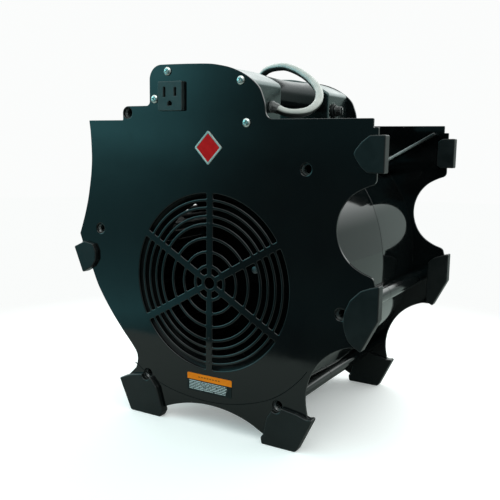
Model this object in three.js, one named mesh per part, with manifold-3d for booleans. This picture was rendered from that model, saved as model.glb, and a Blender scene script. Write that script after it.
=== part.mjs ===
// Portable centrifugal floor blower: two moulded half shells that meet on the
// middle plane, rubber corner feet, a top housing with a carry grip, and a
// double-inlet blower wheel on a motor inside.
//
// Frame (mm): +Z up, the floor is Z = 0, the wheel turns about the Y axis
// through X = 0, Z = AXIS_Z. The near side plate is at -Y, the far one at +Y.
// The air leaves at -X, under the flat top. "Left" is -X and "right" is +X.
import * as THREE from 'three';
import { mergeVertices } from 'three/addons/utils/BufferGeometryUtils.js';
import Module from 'manifold-3d';

const wasm = await Module();
wasm.setup();

// ---------------------------------------------------------- shared dimensions
const HALF_W = 106;            // side plate outer face to the middle plane
const PLATE_Y = -HALF_W;       // outer face of the near plate
const PLATE_T = 2.5;
const WALL_T = 2.5;            // scroll and box walls
const CLEAR = 0.3;             // gap between neighbouring pieces
const FACE_GAP = 0.1;          // gap under screw heads, flanges and labels
const ON_PLATE_Y = PLATE_Y - FACE_GAP;
const INNER_Y = HALF_W - PLATE_T - CLEAR;  // pieces inside a plate stop here
const AXIS_Z = 145.4;          // wheel axis above the floor
const SHAFT_R = 4.0;
const BORE_R = SHAFT_R + CLEAR;
const PAN_SHANK_R = 1.8;       // pan head screws that hold the top boxes
const CORD_R = 3.9;
const BOX_RIGHT_X = 46.5;      // outer face of the top boxes' +X wall
const BOX_END_Y = PLATE_Y + 52.2;  // outer face of the near box's end wall

const SOCKET = { x: -43.4, z: 321.7, flangeW: 28.4, flangeH: 27.4, body: 21.4 };
const KNOB = { y: 64.7, z: 314.8 };
const RELIEF = { y: -74.5, z: 312.6 };

// Side plate outline [x, z, corner radius], clockwise seen from -Y.
const PLATE = [
  [-150.7, 299.8, 0.8], [-105.0, 299.8, 0.8], [-105.0, 313.4, 6.5], [-70.9, 313.4, 4.2],
  [-70.9, 351.8, 14.2], [-42.0, 351.5, 0], [-21.0, 351.0, 0], [0, 350.0, 0],
  [10.5, 348.4, 0], [21.0, 346.0, 0], [31.5, 342.1, 0], [39.9, 337.6, 0],
  [47.2, 332.3, 0], [52.5, 326.6, 0], [55.6, 319.7, 0], [57.7, 313.4, 0],
  [59.6, 299.8, 9.5], [159.6, 299.8, 0.8], [159.6, 292.4, 0.8], [164.3, 292.4, 0.8],
  [164.3, 246.8, 5.2], [154.2, 242.9, 0], [144.4, 237.2, 0], [136.7, 228.8, 0],
  [131.9, 218.6, 0], [130.2, 207.4, 0], [131.9, 196.2, 0], [136.7, 185.9, 0],
  [144.4, 177.6, 0], [154.2, 171.8, 0], [164.8, 168.0, 5.2], [167.5, 157.0, 0],
  [167.5, 131.8, 0], [157.5, 107.1, 0], [154.3, 105.5, 0], [144.6, 104.9, 0],
  [131.2, 98.8, 0], [119.8, 89.5, 0], [111.3, 77.4, 0], [106.1, 63.6, 0],
  [104.7, 49.0, 0], [107.1, 34.4, 0], [110.8, 32.0, 0], [94.5, 3.2, 0],
  [64.0, 3.2, 0], [61.9, 7.9, 0], [46.2, 15.4, 0], [29.4, 20.3, 0],
  [12.2, 22.8, 0], [-5.3, 23.0, 0], [-22.6, 20.8, 0], [-39.4, 16.3, 0],
  [-55.7, 10.0, 0], [-59.9, 3.2, 0], [-92.4, 3.2, 0], [-107.6, 29.9, 0],
  [-97.7, 39.4, 3.2], [-91.4, 45.7, 0], [-89.3, 54.1, 0], [-90.3, 61.4, 0],
  [-96.6, 69.8, 0], [-110.3, 84.5, 0], [-126.0, 103.4, 0], [-141.8, 126.5, 0],
  [-150.2, 144.4, 0], [-157.2, 143.4, 0], [-168.2, 165.9, 0], [-163.8, 172.7, 0],
  [-167.0, 181.1, 0.8], [-163.8, 189.5, 0], [-158.6, 204.2, 0], [-154.4, 218.9, 0],
  [-151.2, 234.7, 0], [-149.1, 248.3, 0], [-148.1, 263.0, 0], [-149.1, 287.2, 0],
];

// Bosses that join the two half shells [x, z, outer radius].
const BOSSES = {
  top_left: [-98.7, 306.8, 6.4],
  top_right: [99.8, 256.7, 7.4],
  mouth: [-137.6, 188.5, 7.4],
  bottom_left: [-75.6, 41.5, 7.4],
  bottom_right: [76.7, 38.3, 7.4],
  right: [136.5, 133.3, 8.4],
};
const BOSS_FLOOR = 12;         // screw recess bottom to the middle plane
const SHELL_SCREW_R = 1.9;     // through screw shank

// Pan head screws through the plates into the top boxes [x, z].
const BOX_SCREWS = { a: [-48.6, 345.0], b: [-64.3, 319.5], c: [33.2, 334.1], d: [39.7, 296.6] };

// ----------------------------------------------------------------- 2D outlines
const radians = (degrees) => (degrees * Math.PI) / 180;

// Unit direction from one point to another, and the distance between them.
function direction([x0, y0], [x1, y1]) {
  const length = Math.hypot(x1 - x0, y1 - y0);
  return [(x1 - x0) / length, (y1 - y0) / length, length];
}

// Rounds the corners of a polygon given as [x, y, radius]. A radius too big
// for its neighbouring sides is reduced to fit.
function rounded(corners, stepDegrees = 22) {
  const out = [];
  const count = corners.length;
  corners.forEach(([x, y, radius], i) => {
    if (!radius) {
      out.push([x, y]);
      return;
    }
    const [ux, uy, lengthU] = direction([x, y], corners[(i + count - 1) % count]);
    const [vx, vy, lengthV] = direction([x, y], corners[(i + 1) % count]);
    const angle = Math.acos(Math.max(-1, Math.min(1, ux * vx + uy * vy)));
    let reach = radius * Math.tan((Math.PI - angle) / 2);
    let arcRadius = radius;
    const limit = 0.48 * Math.min(lengthU, lengthV);
    if (reach > limit) {
      arcRadius = (radius * limit) / reach;
      reach = limit;
    }
    const bisector = Math.hypot(ux + vx, uy + vy);
    const toCentre = arcRadius / Math.sin(angle / 2);
    const cx = x + ((ux + vx) / bisector) * toCentre;
    const cy = y + ((uy + vy) / bisector) * toCentre;
    const start = Math.atan2(y + uy * reach - cy, x + ux * reach - cx);
    let sweep = Math.atan2(y + vy * reach - cy, x + vx * reach - cx) - start;
    while (sweep > Math.PI) sweep -= 2 * Math.PI;
    while (sweep < -Math.PI) sweep += 2 * Math.PI;
    const steps = Math.max(1, Math.round(Math.abs(sweep) / radians(stepDegrees)));
    for (let j = 0; j <= steps; j++) {
      const a = start + (sweep * j) / steps;
      out.push([cx + arcRadius * Math.cos(a), cy + arcRadius * Math.sin(a)]);
    }
  });
  return out;
}

// Left normal of the segment, or zero where the two points coincide.
function leftNormal(from, to) {
  const [dx, dy, length] = direction(from, to);
  return length < 1e-9 ? [0, 0] : [-dy, dx];
}

// Offsets a polyline along its left normal, which is outward on a clockwise one.
function offset(points, distance, closed = false) {
  const count = points.length;
  return points.map((point, i) => {
    const before = points[closed ? (i + count - 1) % count : Math.max(0, i - 1)];
    const after = points[closed ? (i + 1) % count : Math.min(count - 1, i + 1)];
    const normalIn = leftNormal(before, point);
    const normalOut = leftNormal(point, after);
    const mx = normalIn[0] + normalOut[0];
    const my = normalIn[1] + normalOut[1];
    const length = Math.hypot(mx, my) || 1;
    const reference = normalOut[0] || normalOut[1] ? normalOut : normalIn;
    const mitre = Math.max(0.5, (mx * reference[0] + my * reference[1]) / length);
    return [
      point[0] + (mx / length) * (distance / mitre),
      point[1] + (my / length) * (distance / mitre),
    ];
  });
}

function rect(cx, cz, width, height, radius = 0) {
  const [w, h] = [width / 2, height / 2];
  return rounded([
    [cx - w, cz - h, radius], [cx + w, cz - h, radius],
    [cx + w, cz + h, radius], [cx - w, cz + h, radius],
  ], 45);
}

const circle = (cx, cz, radius, segments) => Array.from({ length: segments }, (_, i) => {
  const a = (2 * Math.PI * i) / segments;
  return [cx + radius * Math.cos(a), cz + radius * Math.sin(a)];
});

// A point at a radius and angle about the wheel axis.
const polar = (radius, a) => [radius * Math.cos(a), AXIS_Z + radius * Math.sin(a)];

// Profiles of turned pieces: [radius, position along the axis].
const closed = (profile) => [...profile, profile[0]];
const rod = (radius, from, to) => [[0, from], [radius, from], [radius, to], [0, to]];
const tube = (inner, outer, from, to) => closed([
  [inner, from], [outer, from], [outer, to], [inner, to],
]);

// ------------------------------------------------------------ meshes and solids
function indexedGeometry(positions, triangles) {
  const geo = new THREE.BufferGeometry();
  geo.setAttribute('position', new THREE.Float32BufferAttribute(positions, 3));
  geo.setIndex(triangles);
  return geo;
}

// Welds a closed mesh and makes its faces point outward.
function outward(source) {
  let geo = source.clone();
  for (const key of Object.keys(geo.attributes)) {
    if (key !== 'position') geo.deleteAttribute(key);
  }
  geo = mergeVertices(geo, 1e-4);
  const position = geo.attributes.position;
  const index = geo.index.array;
  const [a, b, c] = [new THREE.Vector3(), new THREE.Vector3(), new THREE.Vector3()];
  let volume = 0;
  for (let i = 0; i < index.length; i += 3) {
    a.fromBufferAttribute(position, index[i]);
    b.fromBufferAttribute(position, index[i + 1]);
    c.fromBufferAttribute(position, index[i + 2]);
    volume += a.dot(b.cross(c));
  }
  if (volume < 0) {
    for (let i = 0; i < index.length; i += 3) {
      [index[i], index[i + 1]] = [index[i + 1], index[i]];
    }
  }
  geo.computeVertexNormals();
  return geo;
}

function solid(source) {
  const geo = outward(source);
  return new wasm.Manifold(new wasm.Mesh({
    numProp: 3,
    vertProperties: new Float32Array(geo.attributes.position.array),
    triVerts: new Uint32Array(geo.index.array),
  }));
}

function geometryOf(body) {
  const mesh = body.getMesh();
  const geo = indexedGeometry(mesh.vertProperties, Array.from(mesh.triVerts));
  geo.computeVertexNormals();
  return geo;
}

const join = (solids) => solids.reduce((a, b) => a.add(b));

// Mirror image in the middle plane Y = 0.
function mirrored(source) {
  const geo = source.clone();
  geo.scale(1, -1, 1);
  return outward(geo);
}

function shapeOf(points, holes = []) {
  const vectors = (list) => list.map(([x, y]) => new THREE.Vector2(x, y));
  const shape = new THREE.Shape(vectors(points));
  for (const hole of holes) shape.holes.push(new THREE.Path(vectors(hole)));
  return shape;
}

// A flat outline in the XZ plane, from y0 to y1.
function prismY(points, y0, y1, holes = []) {
  const geo = new THREE.ExtrudeGeometry(shapeOf(points, holes), {
    depth: y1 - y0, bevelEnabled: false, curveSegments: 1,
  });
  geo.rotateX(Math.PI / 2);
  geo.translate(0, y1, 0);
  return geo;
}

const lathe = (profile, segments) => new THREE.LatheGeometry(
  profile.map(([radius, along]) => new THREE.Vector2(radius, along)), segments);

// Turned about the Y direction through (x, z).
const turnY = (profile, x, z, segments) => lathe(profile, segments).translate(x, 0, z);
const turnOnAxis = (profile, segments) => turnY(profile, 0, AXIS_Z, segments);

// Turned about the X direction through (y, z).
const turnX = (profile, y, z, segments) => lathe(profile, segments)
  .rotateZ(-Math.PI / 2)
  .translate(0, y, z);

const block = (size, centre) => solid(new THREE.BoxGeometry(...size).translate(...centre));

// A wall between two open polylines that run side by side, from y0 to y1.
function ruledStrip(outer0, inner0, y0, outer1, inner1, y1) {
  const count = outer0.length;
  const positions = [];
  for (const [line, y] of [[outer0, y0], [inner0, y0], [outer1, y1], [inner1, y1]]) {
    for (const [x, z] of line) positions.push(x, y, z);
  }
  const [O0, I0, O1, I1] = [0, count, 2 * count, 3 * count];
  const triangles = [];
  const quad = (a, b, c, d) => triangles.push(a, b, c, a, c, d);
  for (let i = 0; i < count - 1; i++) {
    quad(O0 + i, O0 + i + 1, I0 + i + 1, I0 + i);
    quad(O1 + i, I1 + i, I1 + i + 1, O1 + i + 1);
    quad(O0 + i, O1 + i, O1 + i + 1, O0 + i + 1);
    quad(I0 + i, I0 + i + 1, I1 + i + 1, I1 + i);
  }
  const end = count - 1;
  quad(O0, I0, I1, O1);
  quad(O0 + end, O1 + end, I1 + end, I0 + end);
  return indexedGeometry(positions, triangles);
}

// A solid through a list of closed sections (same point count), capped.
function loft(sections) {
  const count = sections[0].length;
  const triangles = [];
  for (let k = 0; k < sections.length - 1; k++) {
    for (let i = 0; i < count; i++) {
      const a = k * count + i;
      const b = k * count + ((i + 1) % count);
      triangles.push(a, b, b + count, a, b + count, a + count);
    }
  }
  const last = (sections.length - 1) * count;
  for (let i = 1; i < count - 1; i++) {
    triangles.push(0, i + 1, i, last, last + i, last + i + 1);
  }
  return indexedGeometry(sections.flat(2), triangles);
}

// ------------------------------------------------------------------ materials
const material = (settings) => new THREE.MeshStandardMaterial(settings);
const glossBlack = material({ color: 0x0b0e0f, roughness: 0.12, metalness: 0 });
const satinBlack = material({ color: 0x141717, roughness: 0.45, metalness: 0 });
const rubberBlack = material({ color: 0x101212, roughness: 0.6, metalness: 0 });
const silver = material({ color: 0xc9cbc8, roughness: 0.3, metalness: 1 });
const greyCord = material({ color: 0x9a9a98, roughness: 0.5, metalness: 0 });
const redPlate = material({ color: 0xc62f2b, roughness: 0.35, metalness: 0 });
const orangeLabel = material({ color: 0xd9792f, roughness: 0.5, metalness: 0 });
const steel = material({ color: 0x8e9294, roughness: 0.35, metalness: 1 });
const motorPaint = material({ color: 0x1d2022, roughness: 0.5, metalness: 0.2 });
const copper = material({ color: 0xa8643a, roughness: 0.4, metalness: 1 });
const capWhite = material({ color: 0xd8d8d2, roughness: 0.5, metalness: 0 });

const group = new THREE.Group();

function addPiece(name, geo, mat) {
  const mesh = new THREE.Mesh(geo, mat);
  mesh.name = name;
  group.add(mesh);
}

// Adds a near piece and its mirror image on the far side.
function addPair(name, geo, mat) {
  addPiece(`${name}_near`, geo, mat);
  addPiece(`${name}_far`, mirrored(geo), mat);
}

// ---------------------------------------------------------------- half shells
const SEAM_GAP = 0.15;         // each half shell stops this short of Y = 0
const DRAFT = 3.2;             // the scroll grows by this from plate to seam
const BOSS_TAPER = 0.6;        // radius lost from plate to seam
const RECESS_R = 5.2;          // screw recess
const ROOT_Y = PLATE_Y + 1;    // walls and bosses start inside the plate
const RIB_END_Y = PLATE_Y + 11.5;

// Outer surface of the scroll at the side plates [x, z], from the top of the
// mouth over the top, round the +X side and under, to the mouth's lower lip.
const SCROLL = [
  [-149.5, 291.4], [-60, 291.4], [10, 291.4], [26, 290.2], [42, 286.6], [57.5, 279.6],
  [73, 271.0], [91.9, 256.0], [104.1, 242.4], [115.3, 226.1], [122.5, 209.8],
  [127.8, 191.9], [131.4, 168.5], [131.3, 145.4], [127.7, 122.9], [117.8, 97.8],
  [104.1, 75.2], [83.0, 53.3], [60.7, 40.4], [30.7, 30.8], [0, 28.8],
  [-29.6, 34.8], [-56.2, 48.1], [-78.3, 67.1], [-94.6, 90.8], [-102.9, 112.0],
  [-106.3, 132.4], [-106.5, 150.0], [-108.5, 166], [-114, 179], [-124, 187.5],
  [-137.6, 192.5], [-156.5, 194.5],
];

// Slanted rib from the top right boss towards the plate's +X edge [x, z].
const RIB = [[98, 258.2], [99.2, 256.2], [157.6, 293.6], [156.4, 295.6]];

// Grille slots in six sectors between spokes
// [outer radius, inner radius, arc steps, spoke width].
const SPOKE_W = 7.4;
const GRILLE_BANDS = [
  [86.1, 80.9, 4, SPOKE_W], [78.3, 73.5, 4, SPOKE_W], [70.8, 65.6, 3, SPOKE_W],
  [63.0, 58.1, 3, SPOKE_W], [55.1, 44.7, 3, SPOKE_W], [41.8, 31.5, 2, SPOKE_W],
  [28.7, 18.2, 2, SPOKE_W], [14.7, 9.1, 1, SPOKE_W / 1.3],
];
const GRILLE_SECTORS = 6;
const GRILLE_EYE_R = 5.5;

const plateOutline = rounded(PLATE);

function grilleSlots() {
  const arc = (radius, from, to, steps) => Array.from({ length: steps + 1 },
    (_, i) => polar(radius, from + ((to - from) * i) / steps));
  const slots = [];
  for (let sector = 0; sector < GRILLE_SECTORS; sector++) {
    const from = radians(30 + 60 * sector);
    const to = from + radians(60);
    for (const [outer, inner, steps, spoke] of GRILLE_BANDS) {
      const outerTrim = Math.asin(spoke / 2 / outer);
      const innerTrim = Math.asin(spoke / 2 / inner);
      slots.push([
        ...arc(outer, from + outerTrim, to - outerTrim, steps),
        ...arc(inner, to - innerTrim, from + innerTrim, steps),
      ]);
    }
  }
  slots.push(circle(0, AXIS_Z, GRILLE_EYE_R, 12));
  return slots;
}

// Built at -Y; only the near plate has the socket opening.
function halfShell(hasSocket) {
  const holes = grilleSlots();
  for (const [x, z] of Object.values(BOX_SCREWS)) {
    holes.push(circle(x, z, PAN_SHANK_R + CLEAR, 8));
  }
  if (hasSocket) {
    const opening = SOCKET.body + 0.8;
    holes.push(rect(SOCKET.x, SOCKET.z, opening, opening));
  }
  const parts = [
    solid(prismY(plateOutline, PLATE_Y, PLATE_Y + PLATE_T, holes)),
    solid(ruledStrip(
      SCROLL, offset(SCROLL, -WALL_T), ROOT_Y,
      offset(SCROLL, DRAFT), offset(SCROLL, DRAFT - WALL_T), -SEAM_GAP)),
  ];
  for (const [x, z, radius] of Object.values(BOSSES)) {
    const profile = [
      [0, ROOT_Y], [radius, ROOT_Y], [radius - BOSS_TAPER, -SEAM_GAP], [0, -SEAM_GAP],
    ];
    parts.push(solid(turnY(profile, x, z, 12)));
  }
  parts.push(solid(prismY(RIB, ROOT_Y, RIB_END_Y)));

  const holeR = SHELL_SCREW_R + CLEAR;
  const recess = [
    [0, PLATE_Y - 2], [RECESS_R, PLATE_Y - 2], [RECESS_R, -BOSS_FLOOR],
    [holeR, -BOSS_FLOOR], [holeR, 2], [0, 2],
  ];
  let shell = join(parts);
  for (const [x, z] of Object.values(BOSSES)) {
    shell = shell.subtract(solid(turnY(recess, x, z, 10)));
  }
  return geometryOf(shell);
}
addPiece('shell_near', halfShell(true), glossBlack);
addPiece('shell_far', mirrored(halfShell(false)), glossBlack);

// Through screws, sunk in the near recesses and reaching into the far bosses.
function shellScrew(x, z) {
  const y = -BOSS_FLOOR - FACE_GAP;
  return outward(turnY([
    [0, y - 2.6], [2.6, y - 2.6], [3.9, y - 1.4], [3.9, y],
    [SHELL_SCREW_R, y], [SHELL_SCREW_R, 26], [0, 28],
  ], x, z, 10));
}
for (const [name, [x, z]] of Object.entries(BOSSES)) {
  addPiece(`shell_screw_${name}`, shellScrew(x, z), steel);
}

// ----------------------------------------------------------------------- feet
const FOOT_PROUD = 4.4;        // foot cap beyond the plate's outer face
const FOOT_INSIDE = 5.4;       // foot cap inside the plate's outer face

// Foot cap outlines [x, z, corner radius]; each wraps a corner of the plate.
const FEET = {
  left: [
    [-172, 167.0, 1.5], [-157.3, 173.6, 2], [-145.8, 171.5, 2], [-141.7, 164.2, 2],
    [-141.7, 154.9, 2], [-147.9, 146.5, 2], [-160.4, 139.9, 1.5],
  ],
  bottom_left: [
    [-110.6, 32.0, 1.5], [-95.9, 38.2, 3], [-80.3, 41.4, 4], [-69.8, 39.3, 3],
    [-61.5, 29.9, 3], [-57.3, 16.4, 0], [-54.2, 5.8, 2], [-57.3, 0, 1.5], [-95.6, 0, 3],
  ],
  bottom_right: [
    [114.9, 34.4, 1.5], [108.6, 33.2, 2], [100.0, 35.8, 4], [90.5, 37.2, 3], [75.9, 39.3, 4],
    [67.6, 26.0, 3], [64.5, 10.1, 2], [61.5, 6.2, 2], [62.6, 0, 1.5], [98.4, 0, 3],
  ],
  right_lower: [
    [172, 162.9, 1.2], [163.5, 160.4, 4], [155.5, 157.1, 4], [146.2, 148.0, 6],
    [141.2, 136.5, 6], [140.4, 127.0, 6], [142.2, 119.5, 5], [145.2, 112.5, 4],
    [149.5, 108.2, 4], [157.3, 104.0, 1.2], [172, 133.0, 1.5],
  ],
  right_upper: [
    [172, 286.4, 1.2], [158.3, 286.2, 4], [151.3, 280.6, 4], [146.2, 274.4, 3],
    [144.6, 270.6, 3], [147.2, 266.0, 3], [152.1, 259.6, 4], [157.6, 255.3, 3],
    [172, 255.4, 1.2],
  ],
};
// Inside the plate these caps are cut back to this X.
const FOOT_INNER_X = { right_upper: 154, right_lower: 150 };

const plateSlot = solid(prismY(
  offset(plateOutline, CLEAR, true), PLATE_Y - CLEAR, PLATE_Y + PLATE_T + CLEAR));

function footCap(outline, innerX) {
  const cutFrom = PLATE_Y - CLEAR;
  const cutTo = PLATE_Y + FOOT_INSIDE + 1;
  let foot = solid(prismY(rounded(outline, 30), PLATE_Y - FOOT_PROUD, PLATE_Y + FOOT_INSIDE))
    .subtract(plateSlot);
  for (const [x, z, radius] of Object.values(BOSSES)) {
    foot = foot.subtract(solid(turnY(rod(radius + CLEAR, cutFrom, cutTo), x, z, 16)));
  }
  if (innerX) {
    const cut = [[60, 90], [innerX, 90], [innerX, 300], [60, 300]];
    foot = foot.subtract(solid(prismY(cut, cutFrom, cutTo)));
  }
  return geometryOf(foot);
}
for (const [name, outline] of Object.entries(FEET)) {
  addPair(`foot_${name}`, footCap(outline, FOOT_INNER_X[name]), rubberBlack);
}

// ------------------------------------------------------------------ top boxes
const POST_R = 3.7;            // screw posts inside the boxes
const PILOT_R = PAN_SHANK_R + 0.15;
const PILOT_DEPTH = 11;

// Outer profile, open at the bottom [x, z, corner radius]: just inside the
// plate's edge over the top, then a straight +X wall.
const BOX = [
  [-70.2, 295.2, 0], [-70.2, 351.1, 13.6], [-42, 350.8, 0], [-21, 350.3, 0],
  [0, 349.3, 0], [10.3, 347.7, 0], [20.7, 345.3, 0], [31.1, 341.5, 0],
  [38.6, 338.0, 0], [BOX_RIGHT_X, 333.4, 6], [BOX_RIGHT_X, 313, 0], [BOX_RIGHT_X, 295.2, 0],
];

// Built at -Y, with one round hole through the +X wall.
function boxCover(holeR, holeY, holeZ, holeSegments) {
  const outer = rounded(BOX);
  const inner = offset(outer, -WALL_T);
  const screws = Object.values(BOX_SCREWS);
  let cover = join([
    solid(ruledStrip(outer, inner, -INNER_Y, outer, inner, BOX_END_Y)),
    solid(prismY(outer, BOX_END_Y - WALL_T, BOX_END_Y)),
    ...screws.map(([x, z]) => solid(turnY(rod(POST_R, -INNER_Y, BOX_END_Y - 1), x, z, 12))),
  ]);
  for (const [x, z] of screws) {
    const pilot = rod(PILOT_R, -INNER_Y - 1, -INNER_Y + PILOT_DEPTH);
    cover = cover.subtract(solid(turnY(pilot, x, z, 8)));
  }
  const hole = rod(holeR, BOX_RIGHT_X - 6, BOX_RIGHT_X + 4);
  return geometryOf(cover.subtract(solid(turnX(hole, holeY, holeZ, holeSegments))));
}
addPiece('cord_box', boxCover(6.3, RELIEF.y, RELIEF.z, 16), glossBlack);
addPiece('switch_box', mirrored(boxCover(6.6, -KNOB.y, KNOB.z, 20)), glossBlack);

function boxScrew(x, z) {
  const y = ON_PLATE_Y;
  const [headR, headH, shankLength] = [4.0, 2.3, 10.5];
  return outward(turnY([
    [0, y - headH], [2.6, y - headH], [headR, y - 0.9], [headR, y],
    [PAN_SHANK_R, y], [PAN_SHANK_R, y + shankLength], [0, y + shankLength],
  ], x, z, 10));
}
for (const [name, [x, z]] of Object.entries(BOX_SCREWS)) {
  addPair(`box_screw_${name}`, boxScrew(x, z), silver);
}

// ------------------------------------------------------------------ carry grip
// Superellipse sections between the boxes, waisted in the middle; the +X
// shoulder falls with the slope of the boxes.
const GRIP = {
  x: 20.8, z: 330.6, sag: 0.7,
  halfW: 19.0, waistW: 3.0,    // half width, and how much the waist takes off
  halfH: 14.2, waistH: 0.9,    // half height, likewise
  power: 2.6, slope: 0.28,     // superellipse power, fall per mm of +X
  spans: 10, points: 20,
};

function handGrip() {
  const y0 = BOX_END_Y + CLEAR;
  const superellipse = (t) => Math.sign(t) * Math.abs(t) ** (2 / GRIP.power);
  const sections = [];
  for (let k = 0; k <= GRIP.spans; k++) {
    const u = k / GRIP.spans;
    const y = y0 - 2 * y0 * u;
    const waist = Math.sin(Math.PI * u);
    const halfW = GRIP.halfW - GRIP.waistW * waist;
    const halfH = GRIP.halfH - GRIP.waistH * waist;
    const centreZ = GRIP.z - GRIP.sag * waist;
    sections.push(Array.from({ length: GRIP.points }, (_, i) => {
      const a = (2 * Math.PI * i) / GRIP.points;
      const dx = halfW * superellipse(Math.cos(a));
      const dz = halfH * superellipse(Math.sin(a));
      return [GRIP.x + dx, y, centreZ + dz - GRIP.slope * Math.max(0, dx)];
    }));
  }
  return outward(loft(sections));
}
addPiece('hand_grip', handGrip(), glossBlack);

// -------------------------------------------------------------- power socket
function powerSocket() {
  const { x, z, flangeW, flangeH, body } = SOCKET;
  const [cutFrom, cutTo] = [PLATE_Y - 6, PLATE_Y + 10];
  const [bladeX, bladeZ, bladeW] = [6.35, z + 3.4, 1.9];
  const slot = (cx, height) => solid(prismY(rect(cx, bladeZ, bladeW, height), cutFrom, cutTo));
  return geometryOf(solid(prismY(rect(x, z, flangeW, flangeH, 1.2), PLATE_Y - 4.2, ON_PLATE_Y))
    .add(solid(prismY(rect(x, z, body, body), PLATE_Y - 0.2, PLATE_Y + 22)))
    .subtract(slot(x - bladeX, 8.4))
    .subtract(slot(x + bladeX, 7.0))
    .subtract(solid(turnY(rod(2.5, cutFrom, cutTo), x, z - 7.4, 12))));
}
addPiece('power_socket', powerSocket(), satinBlack);

// ------------------------------------------- fittings in the boxes' +X walls
// Places a profile measured from the outer face of the +X wall.
const fromWall = (profile) => profile.map(([radius, x]) => [radius, BOX_RIGHT_X + x]);
const turnAtKnob = (profile, segments) => turnX(fromWall(profile), KNOB.y, KNOB.z, segments);

function switchBezel() {
  return outward(turnAtKnob(closed([
    [3.6, -4.2], [6.2, -4.2], [6.2, 0.3], [7.7, 0.3], [7.7, 2.6], [6.6, 3.4], [3.6, 3.4],
  ]), 24));
}
addPiece('switch_bezel', switchBezel(), satinBlack);

function switchBody() {
  const body = block([20, 15, 24], [BOX_RIGHT_X - 14.6, KNOB.y, KNOB.z])
    .subtract(solid(turnAtKnob(rod(3.5, -16.6, 0), 12)));
  return outward(geometryOf(body));
}
addPiece('switch_body', switchBody(), motorPaint);

// Stem, flange and cap, with a raised bar across the end.
function speedKnob() {
  const knob = solid(turnAtKnob([
    [0, -15.8], [3.1, -15.8], [3.1, 3.8], [5.9, 3.8], [5.8, 5.4],
    [5.2, 6.0], [4.9, 10.4], [4.3, 11.0], [0, 11.0],
  ], 20));
  return geometryOf(knob.add(block([1.2, 1.6, 8.6], [BOX_RIGHT_X + 11.2, KNOB.y, KNOB.z])));
}
addPiece('speed_knob', speedKnob(), satinBlack);

// Flanged sleeve round the cord, through the wall hole.
function strainRelief() {
  const boreR = CORD_R + 0.6;
  return outward(turnX(fromWall(closed([
    [boreR, -7], [5.6, -7], [5.6, 0.5], [7.0, 0.5], [7.0, 2.0],
    [5.9, 2.6], [5.6, 5.4], [boreR, 5.4],
  ])), RELIEF.y, RELIEF.z, 16));
}
addPiece('strain_relief', strainRelief(), satinBlack);

// -------------------------------------------------------------- cord and plug
// Cord centreline [x, y, z]: out through the strain relief, up over the grip
// and down past its -X side to the plug.
const CORD = [
  [38, RELIEF.y, RELIEF.z], [44, RELIEF.y, RELIEF.z], [49.0, RELIEF.y, RELIEF.z],
  [53.4, RELIEF.y, RELIEF.z - 0.1], [58.4, -73.9, 308.9], [62.8, -72.2, 307.5],
  [67.4, -68.6, 307.0], [71.6, -63.8, 307.2], [75.6, -56.0, 309.0], [77.9, -47.0, 313.2],
  [77.6, -38.0, 318.8], [74.4, -29.0, 325.2], [69.0, -21.0, 331.2], [61.0, -14.0, 337.4],
  [50.8, -8.0, 344.2], [40.0, -3.0, 350.0], [29.8, 0, 354.2], [19.4, 3.0, 357.1],
  [9.0, 6.0, 357.8], [-0.6, 9.0, 357.0], [-9.0, 11.8, 354.4], [-15.6, 14.4, 348.8],
  [-19.6, 17.0, 340.0], [-21.4, 19.6, 328.0], [-21.2, 21.2, 317.0], [-18.6, 20.2, 309.4],
  [-15.2, 15.4, 305.6], [-14.0, 9.6, 304.8], [-14.0, 5.6, 304.8],
];

function powerCord() {
  const points = CORD.map((point) => new THREE.Vector3(...point));
  return outward(new THREE.ExtrudeGeometry(shapeOf(circle(0, 0, CORD_R, 8)), {
    steps: 42,
    bevelEnabled: false,
    extrudePath: new THREE.CatmullRomCurve3(points, false, 'centripetal'),
  }));
}
addPiece('power_cord', powerCord(), greyCord);

// Plug at the end of the cord; its two blades point at -Y.
function powerPlug() {
  const [x, y, z] = [-14, 5.0, 304.8];
  const blade = (dx) => block([1.5, 17, 6.4], [x + dx, y - 35.5, z]);
  return geometryOf(solid(turnY([
    [0, y], [5.0, y], [5.6, y - 10], [8.0, y - 14], [8.0, y - 28], [0, y - 28],
  ], x, z, 14)).add(blade(-6.1)).add(blade(6.1)));
}
addPiece('power_plug', powerPlug(), satinBlack);

// ------------------------------------------------------------ badge and label
// Diamond badge [x, z, corner radius].
const BADGE = [[-1.6, 290.0, 1.6], [14.0, 273.9, 1.6], [-1.6, 257.6, 1.6], [-17.0, 273.9, 1.6]];
const badge = prismY(rounded(BADGE, 45), PLATE_Y - 1.0, ON_PLATE_Y);
addPiece('badge_plate', outward(badge), redPlate);

const label = prismY(rect(0.8, 44.1, 52, 17.8, 0.8), PLATE_Y - 0.5, ON_PLATE_Y);
addPiece('info_label', outward(label), orangeLabel);

// ---------------------------------------------------------------------- wheel
// Flared rings between the plates and the wheel [radius, y].
const INLET_RING = closed([
  [96.4, -INNER_Y], [92.5, -INNER_Y], [84, -99], [79.4, -87],
  [81.6, -87], [86, -97.4], [96.4, -101.0],
]);
addPair('inlet_ring', outward(turnOnAxis(INLET_RING, 28)), satinBlack);

const WHEEL_R = 90;
const WHEEL_HALF = 78;         // half the wheel's width
const RIM_IN_R = 81.5;
const RIM_T = 3;
const DISC_R = WHEEL_R - 0.2;
const BLADES = 22;
const BLADE_IN_R = 75;
const BLADE_OUT_R = WHEEL_R - 0.8;
const BLADE_HALF = WHEEL_HALF - 0.6;
const BLADE_LEAN = 0.075;      // radians from inner to outer edge
const BLADE_ARC = 0.018;       // blade thickness in radians

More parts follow.
